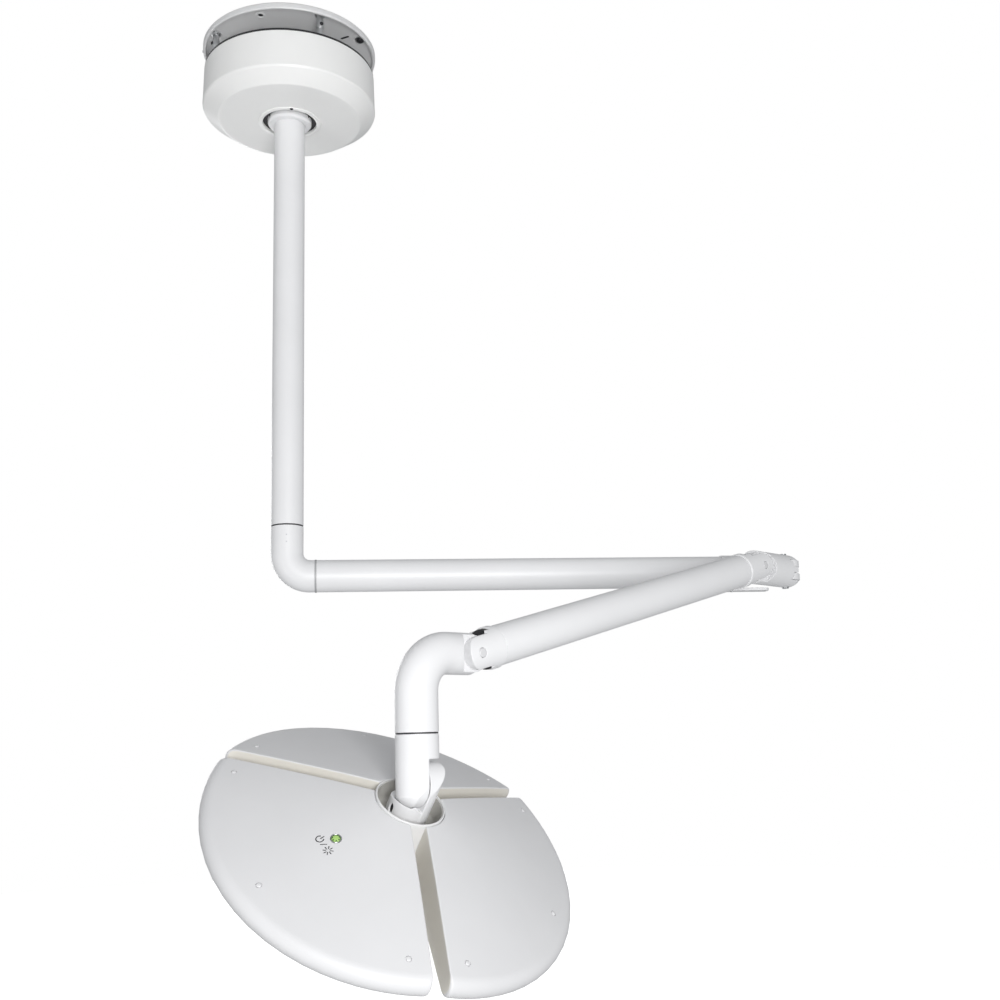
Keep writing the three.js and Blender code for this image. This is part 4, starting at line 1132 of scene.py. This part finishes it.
# name, place, aim, size (m), power (W) and spread (degrees)
LAMPS = [
    ("key", (0.45, -2.5, -1.3), (0.2, -0.2, -0.8), (0.8, 0.8), 38, 180),
    ("side", (-1.9, -1.7, -2.1), (0.15, -0.4, -1.1), (0.35, 1.6), 8, 180),
    ("back_fill", (-0.9, 2.6, -0.6), (0.1, -0.2, -1.0), (1.2, 1.2), 16, 180),
    ("canopy_fill", (0.1, -1.9, -1.2), (0, 0, -0.06), (0.4, 0.4), 0.07, 20),
]
EYE = (0.09257, -2.00279, -1.25381)
AZIMUTH, PITCH, ROLL = 82.551, 11.028, -1.608  # degrees
LENS_MM, LENS_SHIFT = 42.19, (0.0079, 0.0072)


def studio():
    """Pale floor that lights nothing, white behind the object, soft light all round and four lamps."""
    disc = lathe("floor", [(0, FLOOR_Z), (FLOOR_R, FLOOR_Z), (FLOOR_R, FLOOR_Z - 20), (0, FLOOR_Z - 20)], 96)
    disc.data.transform(to_mm)
    surface = bpy.data.materials.new("floor")
    surface.use_nodes = True
    tree = surface.node_tree
    shader = tree.nodes["Principled BSDF"]
    shader.inputs["Base Color"].default_value = (0.86, 0.86, 0.86, 1)
    shader.inputs["Roughness"].default_value = 0.9
    shader.inputs["Emission Color"].default_value = (1, 1, 1, 1)
    shader.inputs["Emission Strength"].default_value = 1.0
    disc.data.materials.append(surface)
    for ray in ("diffuse", "glossy", "transmission", "shadow"):
        setattr(disc, "visible_" + ray, False)

    world = bpy.data.worlds.new("studio")
    bpy.context.scene.world = world
    world.use_nodes = True
    tree = world.node_tree
    link = tree.links.new
    tree.nodes.clear()
    out = node(tree, "OutputWorld")
    seen = node(tree, "Background", Color=(1, 1, 1, 1), Strength=1.0)
    light = node(tree, "Background", Color=(0.97, 0.985, 1, 1), Strength=AMBIENT)
    rays = node(tree, "LightPath")
    mix = node(tree, "MixShader")
    link(rays.outputs["Is Camera Ray"], mix.inputs[0])
    link(light.outputs[0], mix.inputs[1])
    link(seen.outputs[0], mix.inputs[2])
    link(mix.outputs[0], out.inputs["Surface"])

    for name, place, aim, size, power, spread in LAMPS:
        lamp = bpy.data.lights.new(name, "AREA")
        lamp.shape = "RECTANGLE"
        lamp.size, lamp.size_y = size
        lamp.energy = power
        lamp.spread = spread * DEG
        holder = linked(name, lamp)
        holder.location = place
        holder.rotation_mode = "QUATERNION"
        holder.rotation_quaternion = (Vector(aim) - Vector(place)).to_track_quat("-Z", "Y")


def camera():
    """Eye 0.3 m under the swing arm, looking up 11 degrees, as the light is seen from the chair."""
    azimuth, pitch, roll = AZIMUTH * DEG, PITCH * DEG, ROLL * DEG
    level = cos(pitch)
    look = Vector((level * cos(azimuth), level * sin(azimuth), sin(pitch)))
    right = look.cross(Vector((0, 0, 1))).normalized()
    up = right.cross(look)
    rolled_right = right * cos(roll) + up * sin(roll)
    rolled_up = up * cos(roll) - right * sin(roll)
    lens = bpy.data.cameras.new("camera")
    lens.sensor_width = 36
    lens.lens = LENS_MM
    lens.shift_x, lens.shift_y = LENS_SHIFT
    lens.clip_start, lens.clip_end = 0.05, 60
    eye = linked("camera", lens)
    axes = Matrix((rolled_right, rolled_up, -look)).transposed().to_4x4()
    eye.matrix_world = Matrix.Translation(EYE) @ axes
    bpy.context.scene.camera = eye


camera()
studio()
ceiling_plate()
plate_bolt()
for number, angle in enumerate(POST_ANGLES):
    canopy_post(number + 1, angle)
canopy()
drop_tube()
swing_arm()
knuckle()
balance_arm()
lower_elbow()
yoke()
head_bracket()
petal_covers()
petal_insides()
controls()
hub()
handle()

bpy.context.scene.view_settings.view_transform = "Standard"
